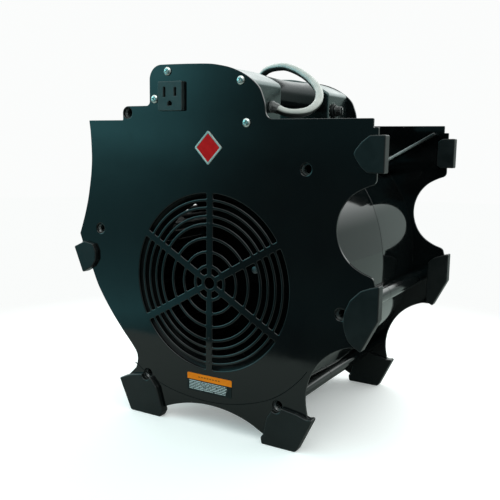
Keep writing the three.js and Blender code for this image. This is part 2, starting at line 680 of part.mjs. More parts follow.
// Two rims, a middle disc with its hub towards -Y, and leaning blades.
function blowerWheel() {
  const parts = [
    solid(turnOnAxis(tube(RIM_IN_R, WHEEL_R, -WHEEL_HALF, -WHEEL_HALF + RIM_T), 30)),
    solid(turnOnAxis(tube(RIM_IN_R, WHEEL_R, WHEEL_HALF - RIM_T, WHEEL_HALF), 30)),
    solid(turnOnAxis(closed([
      [BORE_R, -18], [14, -18], [15, -1.6], [DISC_R, -1.6], [DISC_R, 1.4], [BORE_R, 1.4],
    ]), 30)),
  ];
  for (let i = 0; i < BLADES; i++) {
    const a = (2 * Math.PI * i) / BLADES;
    parts.push(solid(prismY([
      polar(BLADE_IN_R, a),
      polar(BLADE_OUT_R, a + BLADE_LEAN),
      polar(BLADE_OUT_R, a + BLADE_LEAN + BLADE_ARC),
      polar(BLADE_IN_R, a + BLADE_ARC),
    ], -BLADE_HALF, BLADE_HALF)));
  }
  return geometryOf(join(parts));
}
addPiece('blower_wheel', blowerWheel(), satinBlack);

// ---------------------------------------------------------------------- motor
const CAN_R = 45.5;
const STATOR_R = 43.0;
const BEARING_R = 8.0;
const BELL_BORE_R = BEARING_R + CLEAR;
const FRONT_BELL_Y = 12;       // faces of the end bells against the can
const REAR_BELL_Y = 64;

// Turned pieces on the wheel axis [name, profile, segments, material].
const MOTOR_PIECES = [
  ['motor_shaft', rod(SHAFT_R, -20, 74), 14, steel],
  ['motor_rotor', tube(BORE_R, 26.4, 22, 56), 20, steel],
  ['motor_stator', tube(27.2, STATOR_R, 20, 58), 24, copper],
  ['motor_can', tube(STATOR_R + CLEAR, CAN_R, FRONT_BELL_Y + CLEAR, REAR_BELL_Y - CLEAR),
    28, motorPaint],
  ['motor_endbell_front', closed([
    [BELL_BORE_R, 6], [30, 6], [44, 9.5], [CAN_R, FRONT_BELL_Y], [BELL_BORE_R, FRONT_BELL_Y],
  ]), 28, motorPaint],
  ['motor_endbell_rear', closed([
    [BELL_BORE_R, REAR_BELL_Y], [CAN_R, REAR_BELL_Y], [44, 67], [30, 71], [BELL_BORE_R, 71],
  ]), 28, motorPaint],
  ['bearing_front', tube(BORE_R, BEARING_R, 6.6, 11.4), 14, steel],
  ['bearing_rear', tube(BORE_R, BEARING_R, 64.6, 70.4), 14, steel],
];
for (const [name, profile, segments, mat] of MOTOR_PIECES) {
  addPiece(name, outward(turnOnAxis(profile, segments)), mat);
}

// Three-armed bracket: a ring and collar on the motor's +Y side, and arms
// whose end tabs reach to the far plate.
function motorBracket() {
  const [ringY0, ringY1] = [80.5, 83.5];
  const [armIn, tabIn, armOut, armHalfW] = [40, 98, 101, 6];
  const parts = [
    solid(turnOnAxis(tube(28, 44, ringY0, ringY1), 24)),
    solid(turnOnAxis(tube(28, 31, 71.4, 82), 24)),
  ];
  for (const degrees of [90, 210, 330]) {
    const c = Math.cos(radians(degrees));
    const s = Math.sin(radians(degrees));
    const at = (along, across) => [along * c - across * s, AXIS_Z + along * s + across * c];
    const bar = (from, y0, y1) => solid(prismY([
      at(from, -armHalfW), at(armOut, -armHalfW), at(armOut, armHalfW), at(from, armHalfW),
    ], y0, y1));
    parts.push(bar(armIn, ringY0, ringY1), bar(tabIn, 82, INNER_Y));
  }
  return geometryOf(join(parts));
}
addPiece('motor_bracket', motorBracket(), steel);

addPiece('run_capacitor', outward(turnY(rod(14, 58.5, 98), -36, 313, 16)), capWhite);

export default group;
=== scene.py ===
import math

import bmesh
import bpy
from mathutils import Matrix, Vector
from mathutils.geometry import delaunay_2d_cdt


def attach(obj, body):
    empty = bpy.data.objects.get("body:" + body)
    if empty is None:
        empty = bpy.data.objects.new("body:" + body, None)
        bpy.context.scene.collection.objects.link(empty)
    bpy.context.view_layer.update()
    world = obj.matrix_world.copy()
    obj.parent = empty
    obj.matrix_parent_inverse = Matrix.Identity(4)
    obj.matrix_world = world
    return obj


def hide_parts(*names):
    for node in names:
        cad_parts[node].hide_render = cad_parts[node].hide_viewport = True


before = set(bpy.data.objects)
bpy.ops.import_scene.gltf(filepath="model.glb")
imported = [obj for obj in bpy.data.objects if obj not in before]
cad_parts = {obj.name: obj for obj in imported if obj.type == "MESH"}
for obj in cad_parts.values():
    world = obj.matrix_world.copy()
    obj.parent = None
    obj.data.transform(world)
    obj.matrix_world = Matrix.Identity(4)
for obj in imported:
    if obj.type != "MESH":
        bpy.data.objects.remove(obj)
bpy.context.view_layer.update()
MM = 0.001
SIDES = ("near", "far")

# ------------------------------------------------------------- dimensions
HALF_W, PLATE_T, WALL_T, SEAM = 106.0, 2.5, 2.5, 0.15
FACE_Y = -HALF_W              # outer face of the near plate
INNER_Y = FACE_Y + PLATE_T    # inner face of the near plate
AXIS_Z, DRAFT = 145.4, 3.2    # the scroll wall grows by DRAFT from plate to middle seam
FOOT_PROUD, FOOT_INSIDE = 4.4, 5.4
RECESS_R, BOSS_R, BOSS_FLOOR = 5.2, 7.4, 12.0
PAN_R, PAN_H = 4.0, 2.3
BOX_D, BOX_X = 52.2, 46.5     # depth of a top box, and the x of its end wall
# Grille openings as (outer radius, inner radius), between six spokes.
RINGS = [(86.1, 80.9), (78.3, 73.5), (70.8, 65.6), (63.0, 58.1), (55.1, 44.7),
         (41.8, 31.5), (28.7, 18.2)]
WINDOW = (14.7, 9.1)
EYE_R, SPOKE_W = 5.5, 7.4
CORD_R = 3.9
KNOB_Y, KNOB_Z = 64.7, 314.8
SOCKET_X, SOCKET_Z, SOCKET_W, SOCKET_H = -43.4, 321.7, 28.4, 27.4
BLADE_OFFSET = 6.35           # socket slot from the socket's centre line

# Side plate outline: (x, z, corner radius if any).
PLATE = [
    (-150.7, 299.8, 0.8), (-105.0, 299.8, 0.8), (-105.0, 313.4, 6.5), (-70.9, 313.4, 4.2),
    (-70.9, 351.8, 14.2), (-42.0, 351.5), (-21.0, 351.0), (0, 350.0), (10.5, 348.4),
    (21.0, 346.0), (31.5, 342.1), (39.9, 337.6), (47.2, 332.3), (52.5, 326.6), (55.6, 319.7),
    (57.7, 313.4), (59.6, 299.8, 9.5), (159.6, 299.8, 0.8), (159.6, 292.4, 0.8),
    (164.3, 292.4, 0.8), (164.3, 246.8, 5.2), (154.2, 242.9), (144.4, 237.2), (136.7, 228.8),
    (131.9, 218.6), (130.2, 207.4), (131.9, 196.2), (136.7, 185.9), (144.4, 177.6),
    (154.2, 171.8), (164.8, 168.0, 5.2), (167.5, 157.0), (167.5, 131.8), (157.5, 107.1),
    (154.3, 105.5), (144.6, 104.9), (131.2, 98.8), (119.8, 89.5), (111.3, 77.4),
    (106.1, 63.6), (104.7, 49.0), (107.1, 34.4), (110.8, 32.0), (94.5, 3.2), (64.0, 3.2),
    (61.9, 7.9), (46.2, 15.4), (29.4, 20.3), (12.2, 22.8), (-5.3, 23.0), (-22.6, 20.8),
    (-39.4, 16.3), (-55.7, 10.0), (-59.9, 3.2), (-92.4, 3.2), (-107.6, 29.9),
    (-97.7, 39.4, 3.2), (-91.4, 45.7), (-89.3, 54.1), (-90.3, 61.4), (-96.6, 69.8),
    (-110.3, 84.5), (-126.0, 103.4), (-141.8, 126.5), (-150.2, 144.4), (-157.2, 143.4),
    (-168.2, 165.9), (-163.8, 172.7), (-167.0, 181.1, 0.8), (-163.8, 189.5), (-158.6, 204.2),
    (-154.4, 218.9), (-151.2, 234.7), (-149.1, 248.3), (-148.1, 263.0), (-149.1, 287.2),
]
# Scroll wall at the plate, (x, z) from the top of the mouth round to its bottom.
SCROLL = [
    (-149.5, 291.4), (-60, 291.4), (10, 291.4), (26, 290.2), (42, 286.6), (57.5, 279.6),
    (73, 271.0), (91.9, 256.0), (104.1, 242.4), (115.3, 226.1), (122.5, 209.8),
    (127.8, 191.9), (131.4, 168.5), (131.3, 145.4), (127.7, 122.9), (117.8, 97.8),
    (104.1, 75.2), (83.0, 53.3), (60.7, 40.4), (30.7, 30.8), (0, 28.8),
    (-29.6, 34.8), (-56.2, 48.1), (-78.3, 67.1), (-94.6, 90.8), (-102.9, 112.0),
    (-106.3, 132.4), (-106.5, 150.0), (-108.5, 166), (-114, 179), (-124, 187.5),
    (-137.6, 192.5), (-156.5, 194.5),
]
# Bead on the plate below the grille: (x, z).
BEAD = [(-92.4, 50.9), (-79, 43.6), (-63, 36.2), (-45, 31.0), (-23, 27.8), (0, 26.8),
        (23, 29.0), (45, 34.0), (63, 40.4), (76, 47.4), (88, 56.6), (99, 67.6), (106, 76.4)]
# Joining bosses: (x, z, radius).
BOSSES = {
    "top_left": (-98.7, 306.8, 6.4), "top_right": (99.8, 256.7, BOSS_R),
    "mouth": (-137.6, 188.5, BOSS_R), "bottom_left": (-75.6, 41.5, BOSS_R),
    "bottom_right": (76.7, 38.3, BOSS_R), "right": (136.5, 133.3, 8.4),
}
# Pan screws into the top boxes: (x, z).
BOX_SCREWS = {"a": (-48.6, 345.0), "b": (-64.3, 319.5), "c": (33.2, 334.1), "d": (39.7, 296.6)}
# Top box outline, open below: (x, z, corner radius if any).
BOX = [
    (-70.2, 295.2), (-70.2, 351.1, 13.6), (-42, 350.8), (-21, 350.3), (0, 349.3),
    (10.3, 347.7), (20.7, 345.3), (31.1, 341.5), (38.6, 338.0), (BOX_X, 333.4, 6),
    (BOX_X, 313), (BOX_X, 295.2),
]
# Foot cap outlines: (x, z, corner radius if any).
FEET = {
    "left": [(-172, 167.0, 1.5), (-157.3, 173.6, 2), (-145.8, 171.5, 2), (-141.7, 164.2, 2),
             (-141.7, 154.9, 2), (-147.9, 146.5, 2), (-160.4, 139.9, 1.5)],
    "bottom_left": [(-110.6, 32.0, 1.5), (-95.9, 38.2, 3), (-80.3, 41.4, 4), (-69.8, 39.3, 3),
                    (-61.5, 29.9, 3), (-57.3, 16.4), (-54.2, 5.8, 2), (-57.3, 0, 1.5),
                    (-95.6, 0, 3)],
    "bottom_right": [(114.9, 34.4, 1.5), (108.6, 33.2, 2), (100.0, 35.8, 4), (90.5, 37.2, 3),
                     (75.9, 39.3, 4), (67.6, 26.0, 3), (64.5, 10.1, 2), (61.5, 6.2, 2),
                     (62.6, 0, 1.5), (98.4, 0, 3)],
    "right_lower": [(172, 162.9, 1.2), (163.5, 160.4, 4), (155.5, 157.1, 4), (146.2, 148.0, 6),
                    (141.2, 136.5, 6), (140.4, 127.0, 6), (142.2, 119.5, 5), (145.2, 112.5, 4),
                    (149.5, 108.2, 4), (157.3, 104.0, 1.2), (172, 133.0, 1.5)],
    "right_upper": [(172, 286.4, 1.2), (158.3, 286.2, 4), (151.3, 280.6, 4), (146.2, 274.4, 3),
                    (144.6, 270.6, 3), (147.2, 266.0, 3), (152.1, 259.6, 4), (157.6, 255.3, 3),
                    (172, 255.4, 1.2)],
}
# These feet reach behind the plate face only beyond this x.
FOOT_INNER_X = {"right_upper": 154.0, "right_lower": 150.0}
# Centre line of the cord from the cord box to the plug: (x, y, z).
CORD = [
    (44.0, -73.6, 312.3), (48.0, -73.6, 312.0), (51.4, -73.6, 311.0), (54.8, -73.4, 309.6),
    (58.4, -72.8, 308.0), (62.8, -71.4, 306.7), (67.4, -68.2, 306.3),
    (71.8, -63.4, 306.8), (75.8, -56.0, 308.8), (77.9, -47.0, 313.2), (77.6, -38.0, 318.8),
    (74.4, -29.0, 325.2), (69.0, -21.0, 331.2), (61.0, -14.0, 337.4), (50.8, -8.0, 344.2),
    (40.0, -3.0, 350.0), (29.8, 0, 354.2), (19.4, 3.0, 357.1), (9.0, 6.0, 357.6),
    (-0.6, 9.0, 356.8), (-9.0, 11.8, 354.2), (-15.6, 14.4, 348.6), (-19.6, 17.0, 340.0),
    (-21.4, 19.6, 328.0), (-21.2, 21.2, 317.0), (-18.6, 20.2, 309.4), (-15.2, 15.4, 305.6),
    (-14.0, 9.6, 304.8), (-14.0, 4.6, 304.8),
]
PLUG_X, PLUG_Y, PLUG_Z = CORD[-1][0], 5.0, CORD[-1][2]


# --------------------------------------------------------- outline helpers
def rounded(corners, step):
    """Rounds corners given as (x, z, optional radius), with arc points every `step` degrees."""
    out = []
    for i, (x, z, *radius) in enumerate(corners):
        if not any(radius):
            out.append((x, z))
            continue
        radius, corner = radius[0], Vector((x, z))
        before = Vector(corners[i - 1][:2]) - corner
        after = Vector(corners[(i + 1) % len(corners)][:2]) - corner
        reach = 0.48 * min(before.length, after.length)
        before.normalize()
        after.normalize()
        angle = math.acos(max(-1, min(1, before.dot(after))))
        trim = radius * math.tan((math.pi - angle) / 2)
        if trim > reach:
            radius, trim = radius * reach / trim, reach
        centre = corner + (before + after).normalized() * (radius / math.sin(angle / 2))
        first, last = corner + before * trim, corner + after * trim
        start = math.atan2(first.y - centre.y, first.x - centre.x)
        turn = math.atan2(last.y - centre.y, last.x - centre.x) - start
        turn = (turn + math.pi) % (2 * math.pi) - math.pi
        count = max(2, round(abs(turn) / math.radians(step)))
        for j in range(count + 1):
            angle = start + turn * j / count
            out.append((centre.x + radius * math.cos(angle), centre.y + radius * math.sin(angle)))
    return out


def hermite(start, end, leave, arrive, t):
    return (start * (2 * t**3 - 3 * t**2 + 1) + leave * (t**3 - 2 * t**2 + t)
            + end * (-2 * t**3 + 3 * t**2) + arrive * (t**3 - t**2))


def smooth(line, closed, corner, step):
    """A smooth line through the points that keeps corners sharper than `corner` degrees."""
    points = []
    for point in map(Vector, line):
        if not points or (point - points[-1]).length > 1e-3:
            points.append(point)
    if closed and (points[0] - points[-1]).length < 1e-3:
        points.pop()
    count = len(points)
    arrive, leave = [], []
    for i in range(count):
        before, after = points[i] - points[i - 1], points[(i + 1) % count] - points[i]
        if not closed and i in (0, count - 1):
            inward = outward = (after if i == 0 else before).normalized()
        elif before.angle(after) > math.radians(corner):
            inward, outward = before.normalized(), after.normalized()
        else:
            chord = points[(i + 1) % count] - points[i - 1]
            inward = outward = chord / (before.length + after.length)
        arrive.append(inward)
        leave.append(outward)
    out = []
    for i in range(count if closed else count - 1):
        j = (i + 1) % count
        start, end = points[i], points[j]
        length = (end - start).length
        pieces = max(1, math.ceil(length / step))
        out += [tuple(hermite(start, end, leave[i] * length, arrive[j] * length, k / pieces))
                for k in range(pieces)]
    if not closed:
        out.append(tuple(points[-1]))
    return out


def ccw(loop):
    area = sum(loop[i - 1][0] * loop[i][1] - loop[i][0] * loop[i - 1][1]
               for i in range(len(loop))) / 2
    return list(loop) if area > 0 else list(reversed(loop))


def shift(line, distance, closed=True):
    """Moves a line along its left normal (into a counter-clockwise loop)."""
    count, out = len(line), []
    for i, point in enumerate(line):
        before = line[i - 1] if closed or i else point
        after = line[(i + 1) % count] if closed or i < count - 1 else point
        came = Vector((point[0] - before[0], point[1] - before[1]))
        goes = Vector((after[0] - point[0], after[1] - point[1]))
        normal1 = Vector((-came.y, came.x)).normalized() if came.length > 1e-9 else None
        normal2 = Vector((-goes.y, goes.x)).normalized() if goes.length > 1e-9 else None
        normal1, normal2 = normal1 or normal2, normal2 or normal1
        mitre = normal1 + normal2
        mitre = mitre.normalized() if mitre.length > 1e-6 else normal1
        lean = max(0.45, mitre.dot(normal2))
        out.append((point[0] + mitre.x * distance / lean, point[1] + mitre.y * distance / lean))
    return out


def inside(point, loop):
    x, z = point
    hit = False
    for i in range(len(loop)):
        (x1, z1), (x2, z2) = loop[i - 1], loop[i]
        if (z1 > z) != (z2 > z) and x < (x2 - x1) * (z - z1) / (z2 - z1) + x1:
            hit = not hit
    return hit


def bite(loop, centre_x, centre_z, radius):
    """Takes a round bite out of the edge of a loop."""
    def bitten(point):
        return math.hypot(point[0] - centre_x, point[1] - centre_z) < radius

    def on_circle(angle):
        return centre_x + radius * math.cos(angle), centre_z + radius * math.sin(angle)

    def crossing_angle(outer, inner):
        low, high = 0.0, 1.0
        for _ in range(30):
            middle = (low + high) / 2
            if bitten([a + (b - a) * middle for a, b in zip(outer, inner)]):
                high = middle
            else:
                low = middle
        x, z = (a + (b - a) * high for a, b in zip(outer, inner))
        return math.atan2(z - centre_z, x - centre_x)

    first = next(i for i in range(len(loop)) if bitten(loop[i]) and not bitten(loop[i - 1]))
    run = loop[first:] + loop[:first]
    end = next(k for k, point in enumerate(run) if not bitten(point))
    start = crossing_angle(run[-1], run[0])
    stop = crossing_angle(run[end], run[end - 1])
    turns = [stop - start + turn for turn in (0, 2 * math.pi, -2 * math.pi)]
    turn = min((t for t in turns if abs(t) <= 2 * math.pi
                and inside(on_circle(start + t / 2), loop)), key=abs)
    count = max(4, int(abs(turn) / math.radians(8)))
    return [on_circle(start + turn * j / count) for j in range(count + 1)] + run[end:]


def clip_right(loop, limit):
    """The part of a loop at x >= limit."""
    out = []
    for i, end in enumerate(loop):
        start = loop[i - 1]
        if (start[0] >= limit) != (end[0] >= limit):
            t = (limit - start[0]) / (end[0] - start[0])
            out.append((limit, start[1] + (end[1] - start[1]) * t))
        if end[0] >= limit:
            out.append(end)
    return out


def circle(centre_x, centre_z, radius, count=40):
    angles = [2 * math.pi * i / count for i in range(count)]
    return [(centre_x + radius * math.cos(a), centre_z + radius * math.sin(a)) for a in angles]


def rectangle(centre_x, centre_z, width, height, radius, step):
    left, right = centre_x - width / 2, centre_x + width / 2
    low, high = centre_z - height / 2, centre_z + height / 2
    corners = ((left, low), (right, low), (right, high), (left, high))
    return rounded([(*corner, radius) for corner in corners], step)


# ------------------------------------------------------------ mesh helpers
def make(name, mesh, finish, sharp, side="near", body="housing", replaces=None):
    """Turns a bmesh in millimetres, drawn for the near side, into a piece that rides on a
    CAD body. Edges over `sharp` degrees stay sharp."""
    if side == "far":
        for vert in mesh.verts:
            vert.co.y = -vert.co.y
        bmesh.ops.reverse_faces(mesh, faces=mesh.faces)
    bmesh.ops.remove_doubles(mesh, verts=mesh.verts, dist=1e-4)
    bmesh.ops.recalc_face_normals(mesh, faces=mesh.faces)
    bmesh.ops.triangulate(mesh, faces=[f for f in mesh.faces if len(f.verts) > 4])
    for edge in mesh.edges:
        faces = edge.link_faces
        # The caps of a prism carry material index 1, so that their rims stay sharp.
        if (len(faces) != 2 or edge.calc_face_angle(0) > math.radians(sharp)
                or faces[0].material_index != faces[1].material_index):
            edge.smooth = False
    for face in mesh.faces:
        face.smooth = True
        face.material_index = 0
    data = bpy.data.meshes.new(name)
    mesh.to_mesh(data)
    mesh.free()
    data.transform(Matrix.Scale(MM, 4))
    data.materials.append(MATERIALS[finish])
    piece = bpy.data.objects.new(name, data)
    bpy.context.scene.collection.objects.link(piece)
    normals = piece.modifiers.new("even_normals", "WEIGHTED_NORMAL")
    normals.mode, normals.weight, normals.keep_sharp = "FACE_AREA", 60, True
    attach(piece, body)
    if replaces:
        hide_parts(replaces)


def add_cap(mesh, loops, backwards):
    """Fills the flat face between the first loop of vertices and the others."""
    flat, edges = [], []
    for loop in loops:
        start, count = len(flat), len(loop)
        flat += loop
        edges += [(start + i, start + (i + 1) % count) for i in range(count)]
    points, _, faces, origins, *_ = delaunay_2d_cdt(
        [Vector((v.co.x, v.co.z)) for v in flat], edges, [], 2, 1e-6)
    y = flat[0].co.y
    verts = [flat[origin[0]] if origin else mesh.verts.new((point[0], y, point[1]))
             for point, origin in zip(points, origins)]
    outer, *holes = [[(v.co.x, v.co.z) for v in loop] for loop in loops]
    # The bounding spans of the holes spare most of the slow tests.
    boxes = [(min(x for x, _ in hole), max(x for x, _ in hole),
              min(z for _, z in hole), max(z for _, z in hole), hole) for hole in holes]
    for face in faces:
        x = sum(points[i][0] for i in face) / len(face)
        z = sum(points[i][1] for i in face) / len(face)
        if not inside((x, z), outer):
            continue
        if any(x0 < x < x1 and z0 < z < z1 and inside((x, z), hole)
               for x0, x1, z0, z1, hole in boxes):
            continue
        corners = [verts[i] for i in (reversed(face) if backwards else face)]
        if len(set(corners)) == 3:
            try:
                mesh.faces.new(corners).material_index = 1
            except ValueError:  # merged points can give the same triangle twice
                pass


def prism(mesh, outline, ends, rims, steps, holes=(), hole_rims=None):
    """A flat solid across XZ between two y `ends`, with rounded rims of radii `rims` in
    `steps` steps; hole_rims gives a rim radius for each hole."""
    loops = [ccw(outline)] + [list(reversed(ccw(hole))) for hole in holes]
    own_rims = [None] + list(hole_rims or [None] * len(holes))
    rows = []
    for end, rim, inward in ((ends[0], rims[0], 1), (ends[1], rims[1], -1)):
        for k in range(steps + 1 if rim else 1)[::inward]:
            angle = math.pi / 2 * k / steps
            inset, rise = (1 - math.sin(angle), 1 - math.cos(angle)) if rim else (0.0, 0.0)
            row = []
            for loop, own in zip(loops, own_rims):
                radius = rim if own is None else own
                y = end + inward * rise * radius
                row.append([mesh.verts.new((x, y, z)) for x, z in shift(loop, inset * radius)])
            rows.append(row)
    for row, following in zip(rows, rows[1:]):
        for a, b in zip(row, following):
            for i in range(len(a)):
                mesh.faces.new((a[i - 1], a[i], b[i], b[i - 1]))
    add_cap(mesh, rows[0], False)
    add_cap(mesh, rows[-1], True)
    return mesh


def lathe(mesh, profile, origin, axis="Y", count=48):
    """A turned solid from a closed profile of (radius, along, optional corner radius)."""
    profile = rounded(profile, 22)
    rows = []
    for i in range(count):
        angle = 2 * math.pi * i / count
        row = []
        for radius, along in profile:
            across, height = radius * math.cos(angle), radius * math.sin(angle)
            x, y = (across, along) if axis == "Y" else (along, across)
            row.append(mesh.verts.new((origin[0] + x, origin[1] + y, origin[2] + height)))
        rows.append(row)
    for i in range(count):
        a, b = rows[i - 1], rows[i]
        for j in range(len(profile)):
            k = (j + 1) % len(profile)
            if profile[j][0] >= 1e-6 or profile[k][0] >= 1e-6:
                mesh.faces.new([a[j], a[k], b[k], b[j]])
    bmesh.ops.remove_doubles(mesh, verts=mesh.verts, dist=1e-4)
    return mesh


def skin(mesh, rows, caps=True):
    """Joins successive rings of points; returns the rings of vertices."""
    rings = [[mesh.verts.new(point) for point in row] for row in rows]
    count = len(rings[0])
    for a, b in zip(rings, rings[1:]):
        for i in range(count):
            j = (i + 1) % count
            mesh.faces.new((a[i], a[j], b[j], b[i]))
    if caps:
        mesh.faces.new(list(reversed(rings[0])))
        mesh.faces.new(rings[-1])
    return rings


def skinned(rows):
    mesh = bmesh.new()
    skin(mesh, rows)
    return mesh


def space_curve(line, step):
    """Resamples a smooth line through 3-D points."""
    points = [Vector(point) for point in line]
    out = []
    for i in range(len(points) - 1):
        start, end = points[i], points[i + 1]
        length = (end - start).length
        leave = arrive = end - start
        if i:
            before = points[i - 1]
            leave = (end - before) / (length + (start - before).length) * length
        if i < len(points) - 2:
            after = points[i + 2]
            arrive = (after - start) / ((after - end).length + length) * length
        count = max(2, math.ceil(length / step))
        out += [hermite(start, end, leave, arrive, j / count) for j in range(count)]
    out.append(points[-1])
    return out


def sweep(path, radius_at, count):
    """A round bar along a path; radius_at(length so far) gives its size."""
    rows, travelled = [], 0.0
    previous = (path[1] - path[0]).normalized()
    side = previous.cross(Vector((0, 0, 1))).normalized()
    for i, point in enumerate(path):
        along = (path[min(i + 1, len(path) - 1)] - path[max(i - 1, 0)]).normalized()
        side = (previous.rotation_difference(along).to_matrix() @ side).normalized()
        side = (side - along * side.dot(along)).normalized()
        other = along.cross(side)
        if i:
            travelled += (point - path[i - 1]).length
        radius = radius_at(travelled)
        angles = [2 * math.pi * k / count for k in range(count)]
        rows.append([point + (side * math.cos(a) + other * math.sin(a)) * radius
                     for a in angles])
        previous = along
    return skinned(rows)


def signed_power(value, exponent):
    return math.copysign(abs(value) ** exponent, value)


# --------------------------------------------------------------- materials
class Nodes:
    """Short calls that build the node tree of a material or world."""

    def __init__(self, owner):
        owner.use_nodes = True
        self.tree = owner.node_tree
        self.tree.nodes.clear()

    def new(self, kind, **settings):
        node = self.tree.nodes.new(kind)
        for key, value in settings.items():
            setattr(node, key, value)
        return node

    def put(self, socket, value):
        if isinstance(value, bpy.types.NodeSocket):
            self.tree.links.new(value, socket)
        else:
            socket.default_value = value

    def fill(self, node, **values):
        """Puts values into inputs whose names have _ for spaces."""
        for key, value in values.items():
            self.put(node.inputs[key.replace("_", " ")], value)
        return node

    def noise(self, place, scale, detail=2.0, rough=0.5, distortion=0.0):
        node = self.new("ShaderNodeTexNoise")
        return self.fill(node, Vector=place, Scale=scale, Detail=detail, Roughness=rough,
                         Distortion=distortion).outputs["Fac"]

    def remap(self, value, span, to=(0.0, 1.0), kind="SMOOTHSTEP"):
        node = self.new("ShaderNodeMapRange", interpolation_type=kind, clamp=True)
        return self.fill(node, Value=value, From_Min=span[0], From_Max=span[1],
                         To_Min=to[0], To_Max=to[1]).outputs["Result"]

    def math(self, operation, *values):
        node = self.new("ShaderNodeMath", operation=operation)
        for socket, value in zip(node.inputs, values):
            self.put(socket, value)
        return node.outputs[0]

    def product(self, first, *others):
        for other in others:
            first = self.math("MULTIPLY", first, other)
        return first

    def between(self, value, low, high):
        return self.product(self.math("GREATER_THAN", value, low),
                            self.math("LESS_THAN", value, high))

    def vmath(self, operation, *values, out="Vector"):
        node = self.new("ShaderNodeVectorMath", operation=operation)
        for socket, value in zip(node.inputs, values):
            self.put(socket, value)
        return node.outputs[out]

    def mix(self, factor, *colours):
        node = self.new("ShaderNodeMix", data_type="RGBA")
        self.put(node.inputs["Factor"], factor)
        for socket, colour in zip(node.inputs[6:8], colours):
            is_socket = isinstance(colour, bpy.types.NodeSocket)
            self.put(socket, colour if is_socket else (*colour, 1.0))
        return node.outputs[2]

    def mixf(self, factor, first, second):
        node = self.new("ShaderNodeMix", data_type="FLOAT")
        for socket, value in zip((node.inputs["Factor"], *node.inputs[2:4]),
                                 (factor, first, second)):
            self.put(socket, value)
        return node.outputs[0]

    def mix_shader(self, factor, *shaders):
        node = self.new("ShaderNodeMixShader")
        for socket, value in zip(node.inputs, (factor, *shaders)):
            self.put(socket, value)
        return node.outputs[0]

    def split(self, vector):
        return self.fill(self.new("ShaderNodeSeparateXYZ"), Vector=vector).outputs

    def geometry(self, output="Normal"):
        return self.new("ShaderNodeNewGeometry").outputs[output]

    def camera_ray(self):
        return self.new("ShaderNodeLightPath").outputs["Is Camera Ray"]


MATERIALS = {}


def add_scratches(nodes, place, rough, amount):
    """Rougher streaks across a slanted, stretched noise."""
    stretched = nodes.fill(nodes.new("ShaderNodeMapping"), Vector=place,
                           Rotation=(0.3, 0.7, 0.45), Scale=(1.0, 1.0, 26.0)).outputs[0]
    streaks = nodes.noise(stretched, scale=60.0, detail=2.0, rough=0.7)
    return nodes.math("ADD", rough, nodes.product(nodes.remap(streaks, span=(0.66, 0.72)), amount))


def add_dust(nodes, place, base, rough, colour, amount, scale):
    """Specks on the faces that look up."""
    facing = nodes.remap(nodes.split(nodes.geometry())["Z"], span=(0.2, 1.0))
    specks = nodes.noise(place, scale=scale, detail=6.0, rough=0.75)
    dust = nodes.product(facing, nodes.remap(specks, span=(0.48, 0.8)), amount)
    roughening = 0.5
    return nodes.mix(dust, base, colour), nodes.math("MULTIPLY_ADD", dust, roughening, rough)


def add_wear(nodes, place, base, rough, radius, colour, worn_rough, amount):
    """Patchy wear where a bevelled normal leaves the true one."""
    bevel = nodes.fill(nodes.new("ShaderNodeBevel", samples=4), Radius=radius).outputs[0]
    match = nodes.vmath("DOT_PRODUCT", bevel, nodes.geometry(), out="Value")
    edge = nodes.remap(match, span=(0.985, 0.86))
    patches = nodes.noise(place, scale=90.0, detail=5.0, rough=0.7)
    wear = nodes.product(edge, nodes.remap(patches, span=(0.42, 0.66)), amount)
    return nodes.mix(wear, base, colour), nodes.mixf(wear, rough, worn_rough)


